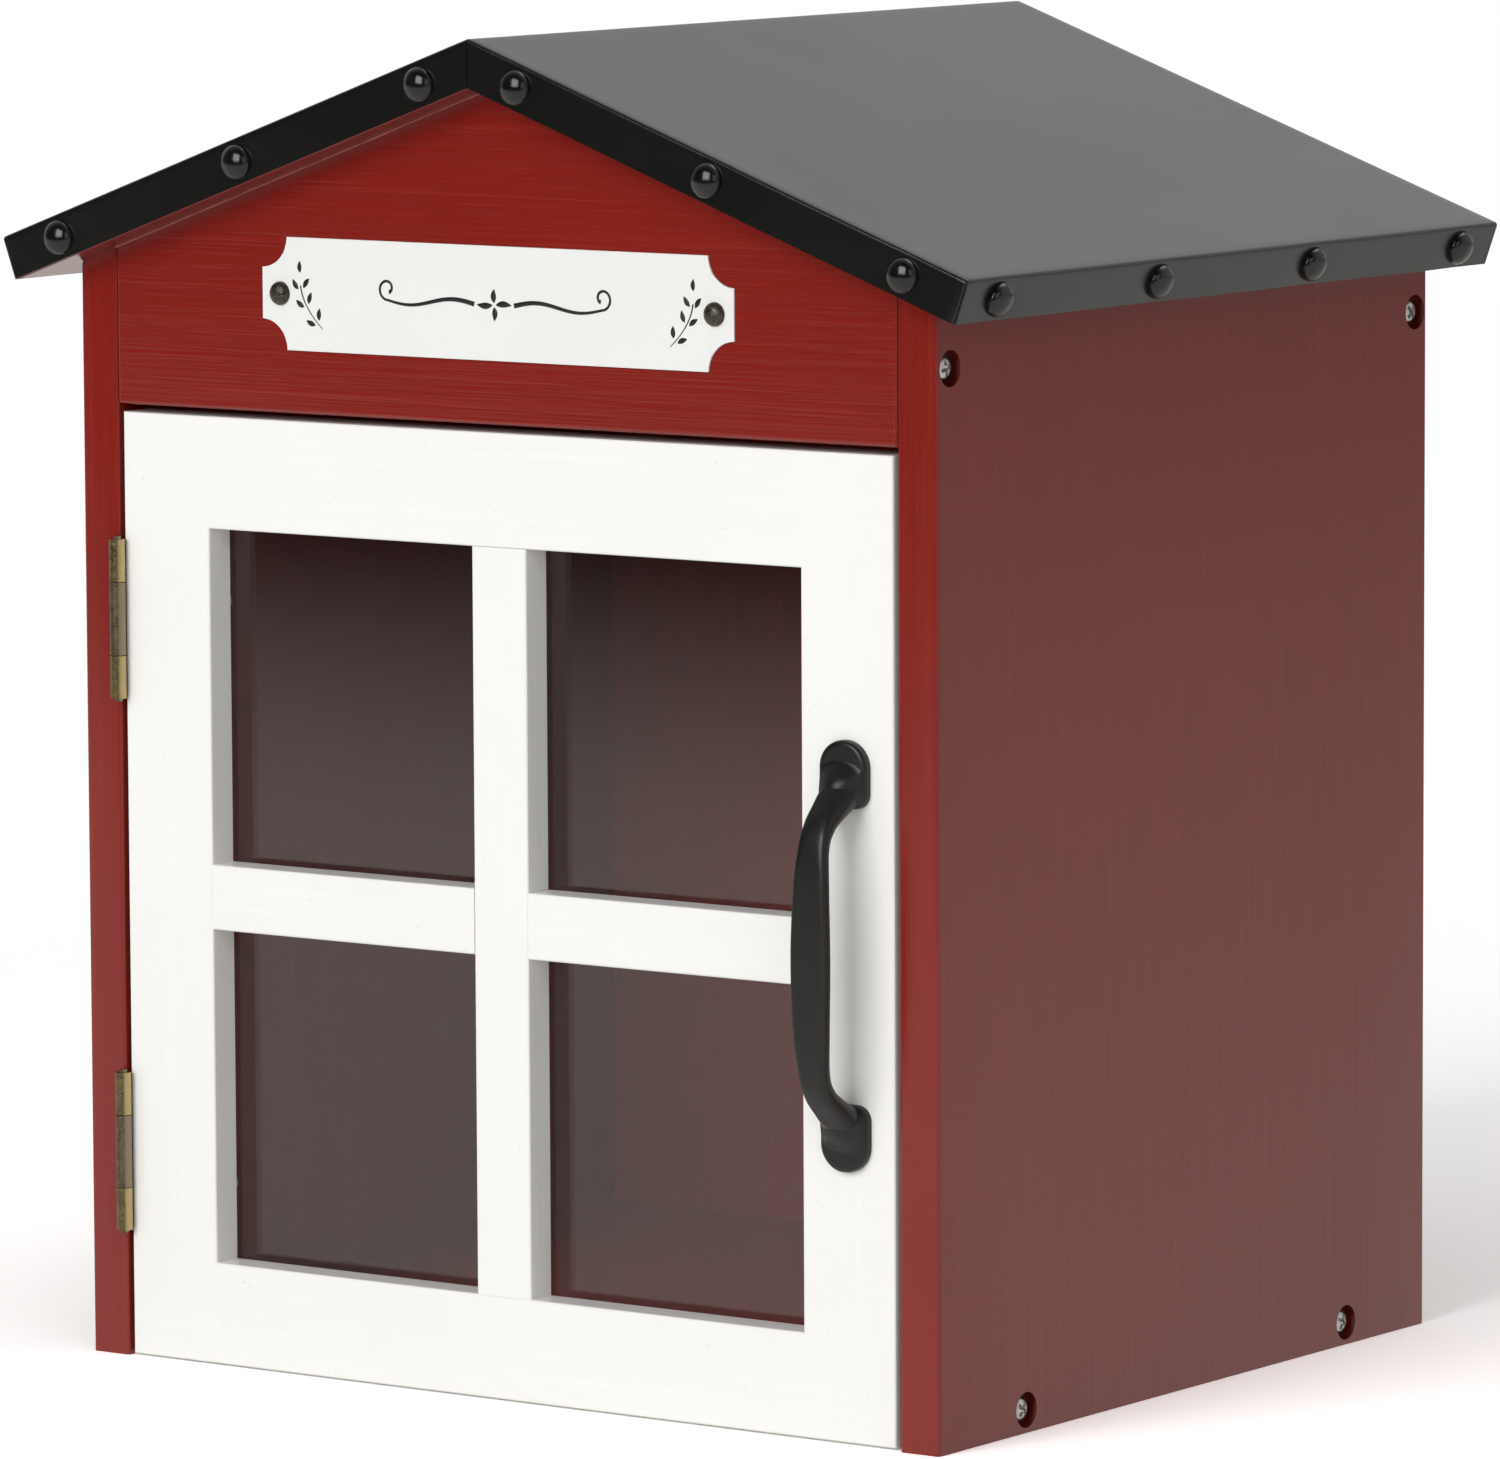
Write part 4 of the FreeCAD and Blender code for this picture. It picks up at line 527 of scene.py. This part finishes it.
def roof_board(side, name):
    """A roof board whose underside lies flush with the flanges' lower edge.

    Every point that lies on the underside moves 1.6 mm along the slope's normal.
    """
    drop = 1.6
    made = finished(f"roof_board_{name}", RED_DEEPWAYS, "cabinet", ROOF_BOARD_EDGE)
    down = Vector((-side * math.sin(SLOPE), 0, -math.cos(SLOPE)))
    ridge = Vector((0, 0, RIDGE * MM))
    for vertex in made.data.vertices:
        if (vertex.co - ridge).dot(down) > ROOF_BOARD * MM:
            vertex.co += down * drop * MM


def filler_bead(side):
    """A thread of filler in the joint of gable and roof: a circle carried along the slope.

    Its radius of half a millimetre swells and thins by sines, as a bead run by hand does.
    """
    start, end, proud, below_slope = 3, 205.4, 0.35, 18.2
    run = np.linspace(start, end, 90)
    around = np.linspace(0, 2 * math.pi, 10, endpoint=False)
    radius = (0.55 + 0.12 * np.sin(run / 9) * np.sin(run / 23 + side))[:, None]
    line = roof_point(side, run, FRONT - proud, -below_slope)[:, None]
    ring = np.stack([side * radius * np.sin(around) * math.sin(SLOPE), radius * np.cos(around),
                     radius * np.sin(around) * math.cos(SLOPE)], -1)
    return capped(line + ring)


# Door's pane

def clear_sheet():
    """The pane, its front moved a tenth of a millimetre off the frame that it lies against."""
    made = finished("window_pane", CLEAR_SHEET, "door")
    front = min(vertex.co.y for vertex in made.data.vertices)
    for vertex in made.data.vertices:
        if vertex.co.y < front + PANE / 2 * MM:
            vertex.co.y += 0.1 * MM


# Fasteners

def dome(radius, height):
    """A domed nail head: a quarter ellipse over a short rim, turned about its middle."""
    rim = 0.12
    angle = np.linspace(0, math.pi / 2, 9)[1:]
    foot = [(0, -0.5), (radius * 0.93, -0.5), (radius, -0.35), (radius, rim)]
    cap = [(radius * math.cos(a), rim + (height - rim) * math.sin(a)) for a in angle]
    cap[-1] = (0, height)
    return surface(turned(foot + cap, np.linspace(0, 2 * math.pi, 28, endpoint=False)), closed=True)


def screw_head(diameter, rise):
    """A screw head with a cross recess; a rise of 0 makes the flat head of a countersunk screw.

    Over a polar grid the face is a low dome, lower by the fourth power of the distance from its
    middle. From it the cross is cut: its depth falls off evenly along each arm and drops away
    over a twentieth of the radius at the arm's side.
    """
    radius = diameter / 2
    wide, long = radius * 0.15, radius * 0.62
    angle = np.linspace(0, 2 * math.pi, 72, endpoint=False)
    ring = np.linspace(1, 0, 16)[:, None]
    x, y = radius * ring * np.cos(angle), radius * ring * np.sin(angle)
    arm = np.minimum(np.maximum(np.abs(x) - wide, np.abs(y) - long),
                     np.maximum(np.abs(y) - wide, np.abs(x) - long))
    depth = radius * 0.55 * (1 - 0.55 * np.hypot(x, y) / long)
    cut = np.clip(0.5 - arm / (radius * 0.05), 0, 1) * np.maximum(depth, 0)
    face = np.stack([x, y, rise * (1 - 0.45 * ring ** 4) - cut], -1)
    if rise:
        under = [(0, 0), (radius * 0.97, 0), (radius, 0.1)]
    else:
        under = [(0, -diameter * 0.35), (radius * 0.45, -diameter * 0.35), (radius, -0.05)]
    return surface(np.concatenate([turned(under, angle), face]), closed=True)


def fasteners(name, node, form, spots, finish, body):
    """The same fastener at several spots, each given a place and the way that it looks."""
    points, faces = form
    surfaces = []
    for spot, way in spots:
        # Driven by hand: each leans by up to a degree or so, and is turned at random.
        lean = rng.normal(0, 0.012, 2)
        surfaces.append((facing(points, spot, way, rng.uniform(0, 6.28), lean), faces))
    piece(name, surfaces, finish, body, [node])


def slope_spots(y, way):
    """The nail spots along both slopes of one gable end."""
    return [(roof_point(side, np.array(run), y, -NAIL_LINE), way)
            for side in (1, -1) for run in SLOPE_NAILS]


def eave_spots(side):
    """The nail spots along one eave, looking out square to its flange."""
    way = (side * math.cos(SLOPE), 0, -math.sin(SLOPE))
    return [(roof_point(side, np.array(EAVE), y, -NAIL_LINE), way) for y in EAVE_NAILS]


def nails():
    """The domed nails of the roof sheet and of the sign."""
    for name, spots in (("front", slope_spots(ROOF_FRONT, FORWARD)),
                        ("back", slope_spots(ROOF_BACK, REAR)),
                        ("right", eave_spots(1)), ("left", eave_spots(-1))):
        fasteners(f"domed_nails_{name}", f"roof_nails_{name}", dome(*ROOF_NAIL), spots,
                  BLACKED_STEEL, "cabinet")
    fasteners("domed_nails_sign", "sign_nails", dome(*SIGN_NAIL),
              [((side * SIGN_NAIL_X, PLATE_FACE, SIGN_Z), FORWARD) for side in (-1, 1)],
              BRONZED_STEEL, "cabinet")


def screws():
    """The cross-recessed screws: in the boards, the hinges, the door and the catch."""
    wood, flat = screw_head(*WOOD_SCREW), screw_head(*FLAT_SCREW)
    for name, side, way in (("right", 1, RIGHT), ("left", -1, LEFT)):
        fasteners(f"cross_screws_{name}", f"side_screws_{name}", wood,
                  [((side * (HALF - COUNTERBORE_DEPTH), y, z), way) for y, z in SIDE_SCREWS],
                  ZINC_STEEL, "cabinet")
    fasteners("cross_screws_back", "back_screws", wood,
              [((x, BACK - COUNTERBORE_DEPTH, BOARD / 2), REAR) for x in BACK_SCREW_X],
              ZINC_STEEL, "cabinet")
    for leaf, side, way, body in (("frame", -1, RIGHT, "cabinet"), ("door", 1, LEFT, "door")):
        fasteners(f"hinge_screw_heads_{leaf}", f"hinge_{leaf}_screws", flat,
                  [((HINGE_X + side * LEAF_PLAY / 2, LEAF_SCREW_Y, z + step), way)
                   for z in HINGES.values() for step in (-LEAF_SCREW_PITCH, 0, LEAF_SCREW_PITCH)],
                  OLD_BRASS, body)
    left, right, low, high = GLASS
    round_pane = [(x, z) for x in (left - PANE_LAP, right + PANE_LAP)
                  for z in (low + PANE_SCREW_INSET, high - PANE_SCREW_INSET)]
    round_pane += [(x, z) for x in (left + PANE_SCREW_INSET, right - PANE_SCREW_INSET)
                   for z in (low - PANE_LAP, high + PANE_LAP)]
    fasteners("cross_screws_pane", "pane_screws", screw_head(*PANE_SCREW),
              [((x, REBATE_FLOOR + PANE, z), REAR) for x, z in round_pane],
              ZINC_STEEL, "door")
    fasteners("cross_screws_handle", "handle_screws", screw_head(*PULL_SCREW),
              [((STILE_X, DOOR_BACK, PULL_Z + end * ROOT), REAR) for end in (-1, 1)],
              ZINC_STEEL, "door")
    fasteners("cross_screws_catch", "catch_screws", screw_head(*CATCH_SCREW),
              [((INNER - CATCH_EAR, CATCH_SCREW_Y, CATCH_Z + end * CATCH_SCREW_Z), LEFT)
               for end in (-1, 1)], ZINC_STEEL, "cabinet")
    fasteners("cross_screws_strike", "strike_screws", flat,
              [((STRIKE_X, DOOR_BACK + STRIKE, CATCH_Z + end * STRIKE_SCREW_Z), REAR)
               for end in (-1, 1)], ZINC_STEEL, "door")


# Door pull

def arch_grip():
    """The pull's grip and necks: a super-ellipse carried square to an arch.

    The arch runs through seven stations from the pad to the middle of the grip and back. At each
    the section is x = w/2 cos^(2/m) a and n = t/2 sin^(2/m) a, with a flatter front (larger m)
    than back, so that the grip has a broad flat face with soft edges.
    """
    points = 145

    def along_arch(half, sign=1):
        """A smooth line through the stations, which come again past the middle, with a sign."""
        return through([sign * value for value in half] + half[-2::-1], points)

    height = along_arch([63.8, 60.0, 55.6, 51.0, 43.4, 28.0, 0], sign=-1)
    stand = along_arch([2.2, 7.6, 13.2, 17.9, 21.5, 23.3, 23.9])
    width = along_arch([17.0, 15.8, 13.8, 12.4, 12.2, 14.6, 16.4])[:, None]
    thick = along_arch([13.0, 11.4, 9.4, 8.0, 6.9, 6.5, 6.3])[:, None]
    front = along_arch([2.0, 2.1, 2.5, 3.6, 5.5, 7.5, 8.0])[:, None]
    back = 2.3
    along = np.stack([np.gradient(stand), np.gradient(height)], -1)
    along /= np.linalg.norm(along, axis=1)[:, None]
    a = np.linspace(0, 2 * math.pi, 56, endpoint=False)
    power = np.where(np.sin(a) > 0, 2 / front, 2 / back)
    across = width / 2 * np.sign(np.cos(a)) * np.abs(np.cos(a)) ** power
    off = thick / 2 * np.sign(np.sin(a)) * np.abs(np.sin(a)) ** power
    out = stand[:, None] + off * along[:, 1:]
    up = height[:, None] - off * along[:, :1]
    return capped(np.stack([STILE_X + across, FRONT - out, PULL_Z + up], -1))


def pull_pad(way):
    """A tongue-shaped pad: its outline drawn in towards the neck, ring by ring.

    The outline is four arcs: wide ones at the free end, tight ones by the grip. The rim rises as
    a quarter circle. The half towards the grip swells into a boss, by the power 1.5 of one less
    the square of the distance from its middle.
    """
    quarter = np.linspace(0, math.pi / 2, 16)
    arcs = [(0.2, 7.2, 10.5), (-0.2, 7.2, 10.5), (-4.7, -2.3, 6), (4.7, -2.3, 6)]
    x, z = np.concatenate([[x + r * np.cos(quarter + k * math.pi / 2),
                            z + r * np.sin(quarter + k * math.pi / 2)]
                           for k, (x, z, r) in enumerate(arcs)], axis=1)
    reach = np.hypot(x, z)
    inset, rise = np.array([(0, 0), (0, 2.3), (0.2, 3.0), (0.6, 3.55), (1.2, 3.85)]).T[:, :, None]
    rim, top_inset, top = 1 - inset / reach, 1.9, 4.0
    face = (1 - top_inset / reach) * (1 - np.linspace(0, 1, 24)[:, None])
    boss_x, boss_z, boss_middle, boss_rise = 12.6, 10.4, -0.4, 6.6
    off = (face * x / boss_x) ** 2 + ((face * z - boss_middle) / boss_z) ** 2
    ring = np.concatenate([rim, face])
    lift = np.concatenate([rise + 0 * rim, top + boss_rise * np.clip(1 - off, 0, 1) ** 1.5])
    return surface(np.stack([STILE_X + ring * x, FRONT - lift,
                             PULL_Z + way * (ROOT + ring * z)], -1), closed=True)


# Sign ornament, printed on the plate

def stroke(path, width):
    """A flat ribbon of the given widths along a path in x and z, on the plate's face."""
    along = np.gradient(path, axis=0)
    along /= np.linalg.norm(along, axis=1)[:, None]
    side = np.stack([-along[:, 1], along[:, 0]], -1) * width[:, None] / 2
    edges = np.stack([path + side, path, path - side], 1)
    y = np.full(edges.shape[:2], PLATE_FACE - PRINT)
    return surface(np.stack([edges[..., 0], y, edges[..., 1]], -1))


def leaf(x, z, angle, length, width):
    """A pointed leaf along a sine's bow: w sin(pi t)^0.85 wide, fuller near the stalk."""
    t = np.linspace(0, 1, 15)
    a = math.radians(angle)
    bow = 0.06 * length * np.sin(math.pi * t)
    path = np.stack([x + length * t * math.cos(a) - bow * math.sin(a),
                     z + length * t * math.sin(a) + bow * math.cos(a)], -1)
    return stroke(path, width * np.sin(math.pi * t) ** 0.85 * (1.15 - 0.35 * t) + 0.02)


def sprig(side):
    """A plain sprig: a bent stem with three pairs of leaves, and one leaf over its tip.

    The stem goes outwards by t + 0.8 t (1 - t) and upwards by t.
    """
    stalk, foot_x, foot_z, out, up = 1.3, 83.4, 415.8, 10.7, 16.6
    t = np.linspace(0, 1, 24)
    x = side * (foot_x + out * (t + 0.8 * t * (1 - t)))
    z = foot_z + up * t
    drawn = [stroke(np.stack([x, z], -1), 0.3 + 0.3 * t),
             leaf(side * (foot_x + out + 0.2), foot_z + up + 5, 90, 4.6, 2.0)]
    for i in (3, 12, 21):
        heading = math.degrees(math.atan2(z[i + 1] - z[i], x[i + 1] - x[i]))
        for turn, aside in ((24, 80), (-48, -80)):
            a = math.radians(heading - side * aside)
            drawn.append(leaf(x[i] + stalk * math.cos(a), z[i] + stalk * math.sin(a),
                              heading - side * turn, 4.8, 2.1))
    return drawn


def rule(side):
    """Half of a swelled rule: a stroke that thins outwards and ends in a small open curl.

    The bar is a shallow sine, and the curl an arc whose radius shrinks from 4.4 to 1.5 mm.
    """
    start, length, curl_radius, curl_points = 9.5, 42, 4.4, 43
    t = np.linspace(0, 1, 40)
    bar = np.stack([start + length * t, RULE_Z + 1.5 * np.sin(2 * math.pi * t)], -1)
    turn = np.linspace(-math.pi / 2, 1.35 * math.pi, curl_points + 1)[1:]
    size = np.linspace(curl_radius, 1.5, curl_points)
    curl = np.stack([bar[-1, 0] + size * np.cos(turn),
                     bar[-1, 1] + curl_radius + size * np.sin(turn)], -1)
    path = np.concatenate([bar, curl]) * (side, 1)
    width = np.concatenate([1.9 - 0.9 * t, np.linspace(1.0, 1.1, curl_points)])
    width[-8:] = np.linspace(1.1, 1.7, 8)
    return stroke(path, width)


def ornament():
    """Two sprigs, and between them a swelled rule with four leaves in its middle."""
    marks = sprig(-1) + sprig(1) + [rule(-1), rule(1)]
    for angle, length in ((0, 7.5), (180, 7.5), (90, 5.4), (270, 5.4)):
        marks.append(leaf(0.8 * math.cos(math.radians(angle)),
                          RULE_Z + 0.8 * math.sin(math.radians(angle)), angle, length, 2.5))
    made = piece("sign_ornament", marks, INK, "cabinet", [], shell=(0, 0, SIGN_Z))
    thickened(made, PRINT)


for name, finish in NODE_FINISH.items():
    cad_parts[name].data.materials.clear()
    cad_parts[name].data.materials.append(finish)
roof_sheet()
for name, paint in CABINET_BOARDS.items():
    finished(name, paint, "cabinet", BOARD_EDGE)
for name, paint in DOOR_FRAME.items():
    finished(name, paint, "door", DOOR_EDGE)
roof_board(1, "right")
roof_board(-1, "left")
clear_sheet()
# The filler bead's paler colour is a painted highlight along the joint under the roof.
piece("joint_filler", [filler_bead(1), filler_bead(-1)], FILLER_HIGHLIGHT, "cabinet", [],
      CAST_ANGLE)
nails()
screws()
piece("door_pull", [arch_grip(), pull_pad(1), pull_pad(-1)], BLACK_CASTING, "door", ["handle"],
      CAST_ANGLE)
finished("sign_plate", ENAMEL, "cabinet", PLATE_EDGE)
ornament()
for name in HINGES:
    finished(f"hinge_{name}_frame_leaf", OLD_BRASS, "cabinet", LEAF_EDGE, ROUND_ANGLE)
    finished(f"hinge_{name}_door_leaf", BROWN_BRASS, "door", LEAF_EDGE, ROUND_ANGLE)
    finished(f"hinge_{name}_pin", BROWN_BRASS, "cabinet", PIN_EDGE, ROUND_ANGLE)
finished("catch_housing", CREAM_ABS, "cabinet", PLASTIC_EDGE)
finished("catch_strike", ZINC_STEEL, "door", STRIKE_EDGE)


# Camera, floor and lights

def photograph_camera():
    """The camera at the photograph's viewing angle, solved from the box's own edges."""
    data = bpy.data.cameras.new("camera")
    data.lens = 241.828
    data.sensor_width = 36
    made = bpy.data.objects.new("camera", data)
    bpy.context.scene.collection.objects.link(made)
    made.location = (2.31443, -3.27801, 0.71524)
    made.rotation_euler = [math.radians(a) for a in (83.34175, 0.26249, 35.25031)]
    bpy.context.scene.camera = made


def lamp(name, spot, target, size, power):
    """A square soft box of a size in metres and a power in watts, that looks at a target."""
    data = bpy.data.lights.new(name, "AREA")
    data.size = size
    data.energy = power
    made = bpy.data.objects.new(name, data)
    bpy.context.scene.collection.objects.link(made)
    made.location = spot
    made.rotation_euler = (Vector(target) - Vector(spot)).to_track_quat("-Z", "Y").to_euler()


def looked_at_straight(tree, path):
    """1 for what the camera sees, also through the pane, and 0 for light and reflections."""
    turns = add(tree, "ShaderNodeMath", {0: path["Diffuse Depth"], 1: path["Glossy Depth"]},
                operation="ADD")
    first = add(tree, "ShaderNodeMath", {0: turns, 1: 0.5}, operation="LESS_THAN")
    pane = add(tree, "ShaderNodeMath", {0: path["Is Transmission Ray"], 1: first},
               operation="MULTIPLY")
    return add(tree, "ShaderNodeMath", {0: path["Is Camera Ray"], 1: pane}, operation="MAXIMUM")


def floor():
    """A pale paper floor, lit round the box and white further off, as a studio sweep is.

    What is looked at straight is lit paper that fades to white between 0.55 and 1.5 m from the
    box. Light bounces off plain paper. Gloss and metal see paper that glows, less so far back
    and not at all behind the camera.
    """
    half = 24
    mesh = bpy.data.meshes.new("floor")
    mesh.from_pydata([(-half, -half, 0), (half, -half, 0), (half, half, 0), (-half, half, 0)], [],
                     [(0, 1, 2, 3)])
    made = bpy.data.objects.new("floor", mesh)
    bpy.context.scene.collection.objects.link(made)
    paper = bpy.data.materials.new("white_paper_sweep")
    tree = blank_tree(paper)
    spot = add(tree, "ShaderNodeTexCoord").outputs["Object"]
    path = add(tree, "ShaderNodeLightPath").outputs
    direct = looked_at_straight(tree, path)

    plain = add(tree, "ShaderNodeBsdfDiffuse", {"Color": tone("efefed")})
    lit = add(tree, "ShaderNodeBsdfDiffuse", {"Color": (1.8, 1.8, 1.79, 1)})
    near = add(tree, "ShaderNodeMixShader", {0: direct, 1: plain, 2: lit})
    away = add(tree, "ShaderNodeVectorMath", {0: spot}, operation="LENGTH")
    fade = add(tree, "ShaderNodeMapRange", {"Value": away, "From Min": 0.55, "From Max": 1.5},
               interpolation_type="SMOOTHSTEP")
    faded = add(tree, "ShaderNodeMath", {0: fade, 1: direct}, operation="MULTIPLY")
    white = add(tree, "ShaderNodeEmission", {"Strength": 1.0})
    seen = add(tree, "ShaderNodeMixShader", {0: faded, 1: near, 2: white})

    y = add(tree, "ShaderNodeSeparateXYZ", {0: spot}).outputs["Y"]
    before = add(tree, "ShaderNodeMapRange", {"Value": y, "From Min": -3.3, "From Max": -1.3},
                 interpolation_type="SMOOTHSTEP")
    behind = add(tree, "ShaderNodeMapRange", {"Value": y, "From Min": 0.3, "From Max": 5.0,
                                              "To Min": 0.9, "To Max": 0.36})
    power = add(tree, "ShaderNodeMath", {0: before, 1: behind}, operation="MULTIPLY")
    glow = add(tree, "ShaderNodeEmission", {"Color": tone("fffdf8"), "Strength": power})
    indirect = add(tree, "ShaderNodeMath", {0: 1.0, 1: direct}, operation="SUBTRACT")
    mirrored = add(tree, "ShaderNodeMath", {0: path["Is Glossy Ray"], 1: indirect},
                   operation="MULTIPLY")
    mixed = add(tree, "ShaderNodeMixShader", {0: mirrored, 1: seen, 2: glow})
    add(tree, "ShaderNodeOutputMaterial", {"Surface": mixed})
    mesh.materials.append(paper)


def surroundings():
    """A plain soft room: white where it is looked at, and dimmer behind the camera for gloss."""
    world = bpy.data.worlds.new("studio")
    bpy.context.scene.world = world
    tree = blank_tree(world)
    way = add(tree, "ShaderNodeTexCoord").outputs["Generated"]
    y = add(tree, "ShaderNodeSeparateXYZ", {0: way}).outputs["Y"]
    path = add(tree, "ShaderNodeLightPath").outputs
    gloss = add(tree, "ShaderNodeMapRange", {"Value": y, "From Min": -0.6, "From Max": 0.3,
                                             "To Max": 0.74}, interpolation_type="SMOOTHSTEP")
    light = add(tree, "ShaderNodeMapRange", {"Value": y, "From Min": -0.6, "From Max": 0.6,
                                             "To Min": 0.56, "To Max": 0.02})
    cast = add(tree, "ShaderNodeMix", {"Factor": path["Is Glossy Ray"], "A": light, "B": gloss})
    power = add(tree, "ShaderNodeMix", {"Factor": looked_at_straight(tree, path), "A": cast,
                                        "B": 1.0})
    sky = add(tree, "ShaderNodeBackground", {"Color": (1, 1, 1, 1), "Strength": power})
    add(tree, "ShaderNodeOutputWorld", {"Surface": sky})


photograph_camera()
floor()
surroundings()
# The key stands before the door, over the camera's left. The others lift the roof and the side.
lamp("key", (-0.15, -4.0, 1.95), (0, 0, 0.25), 2.4, 100)
lamp("top", (0.6, 1.2, 3.4), (0, 0, 0.3), 2.0, 22)
lamp("fill", (3.4, -2.8, 1.5), (0, 0, 0.25), 2.4, 17)

bpy.context.scene.view_settings.view_transform = "Standard"
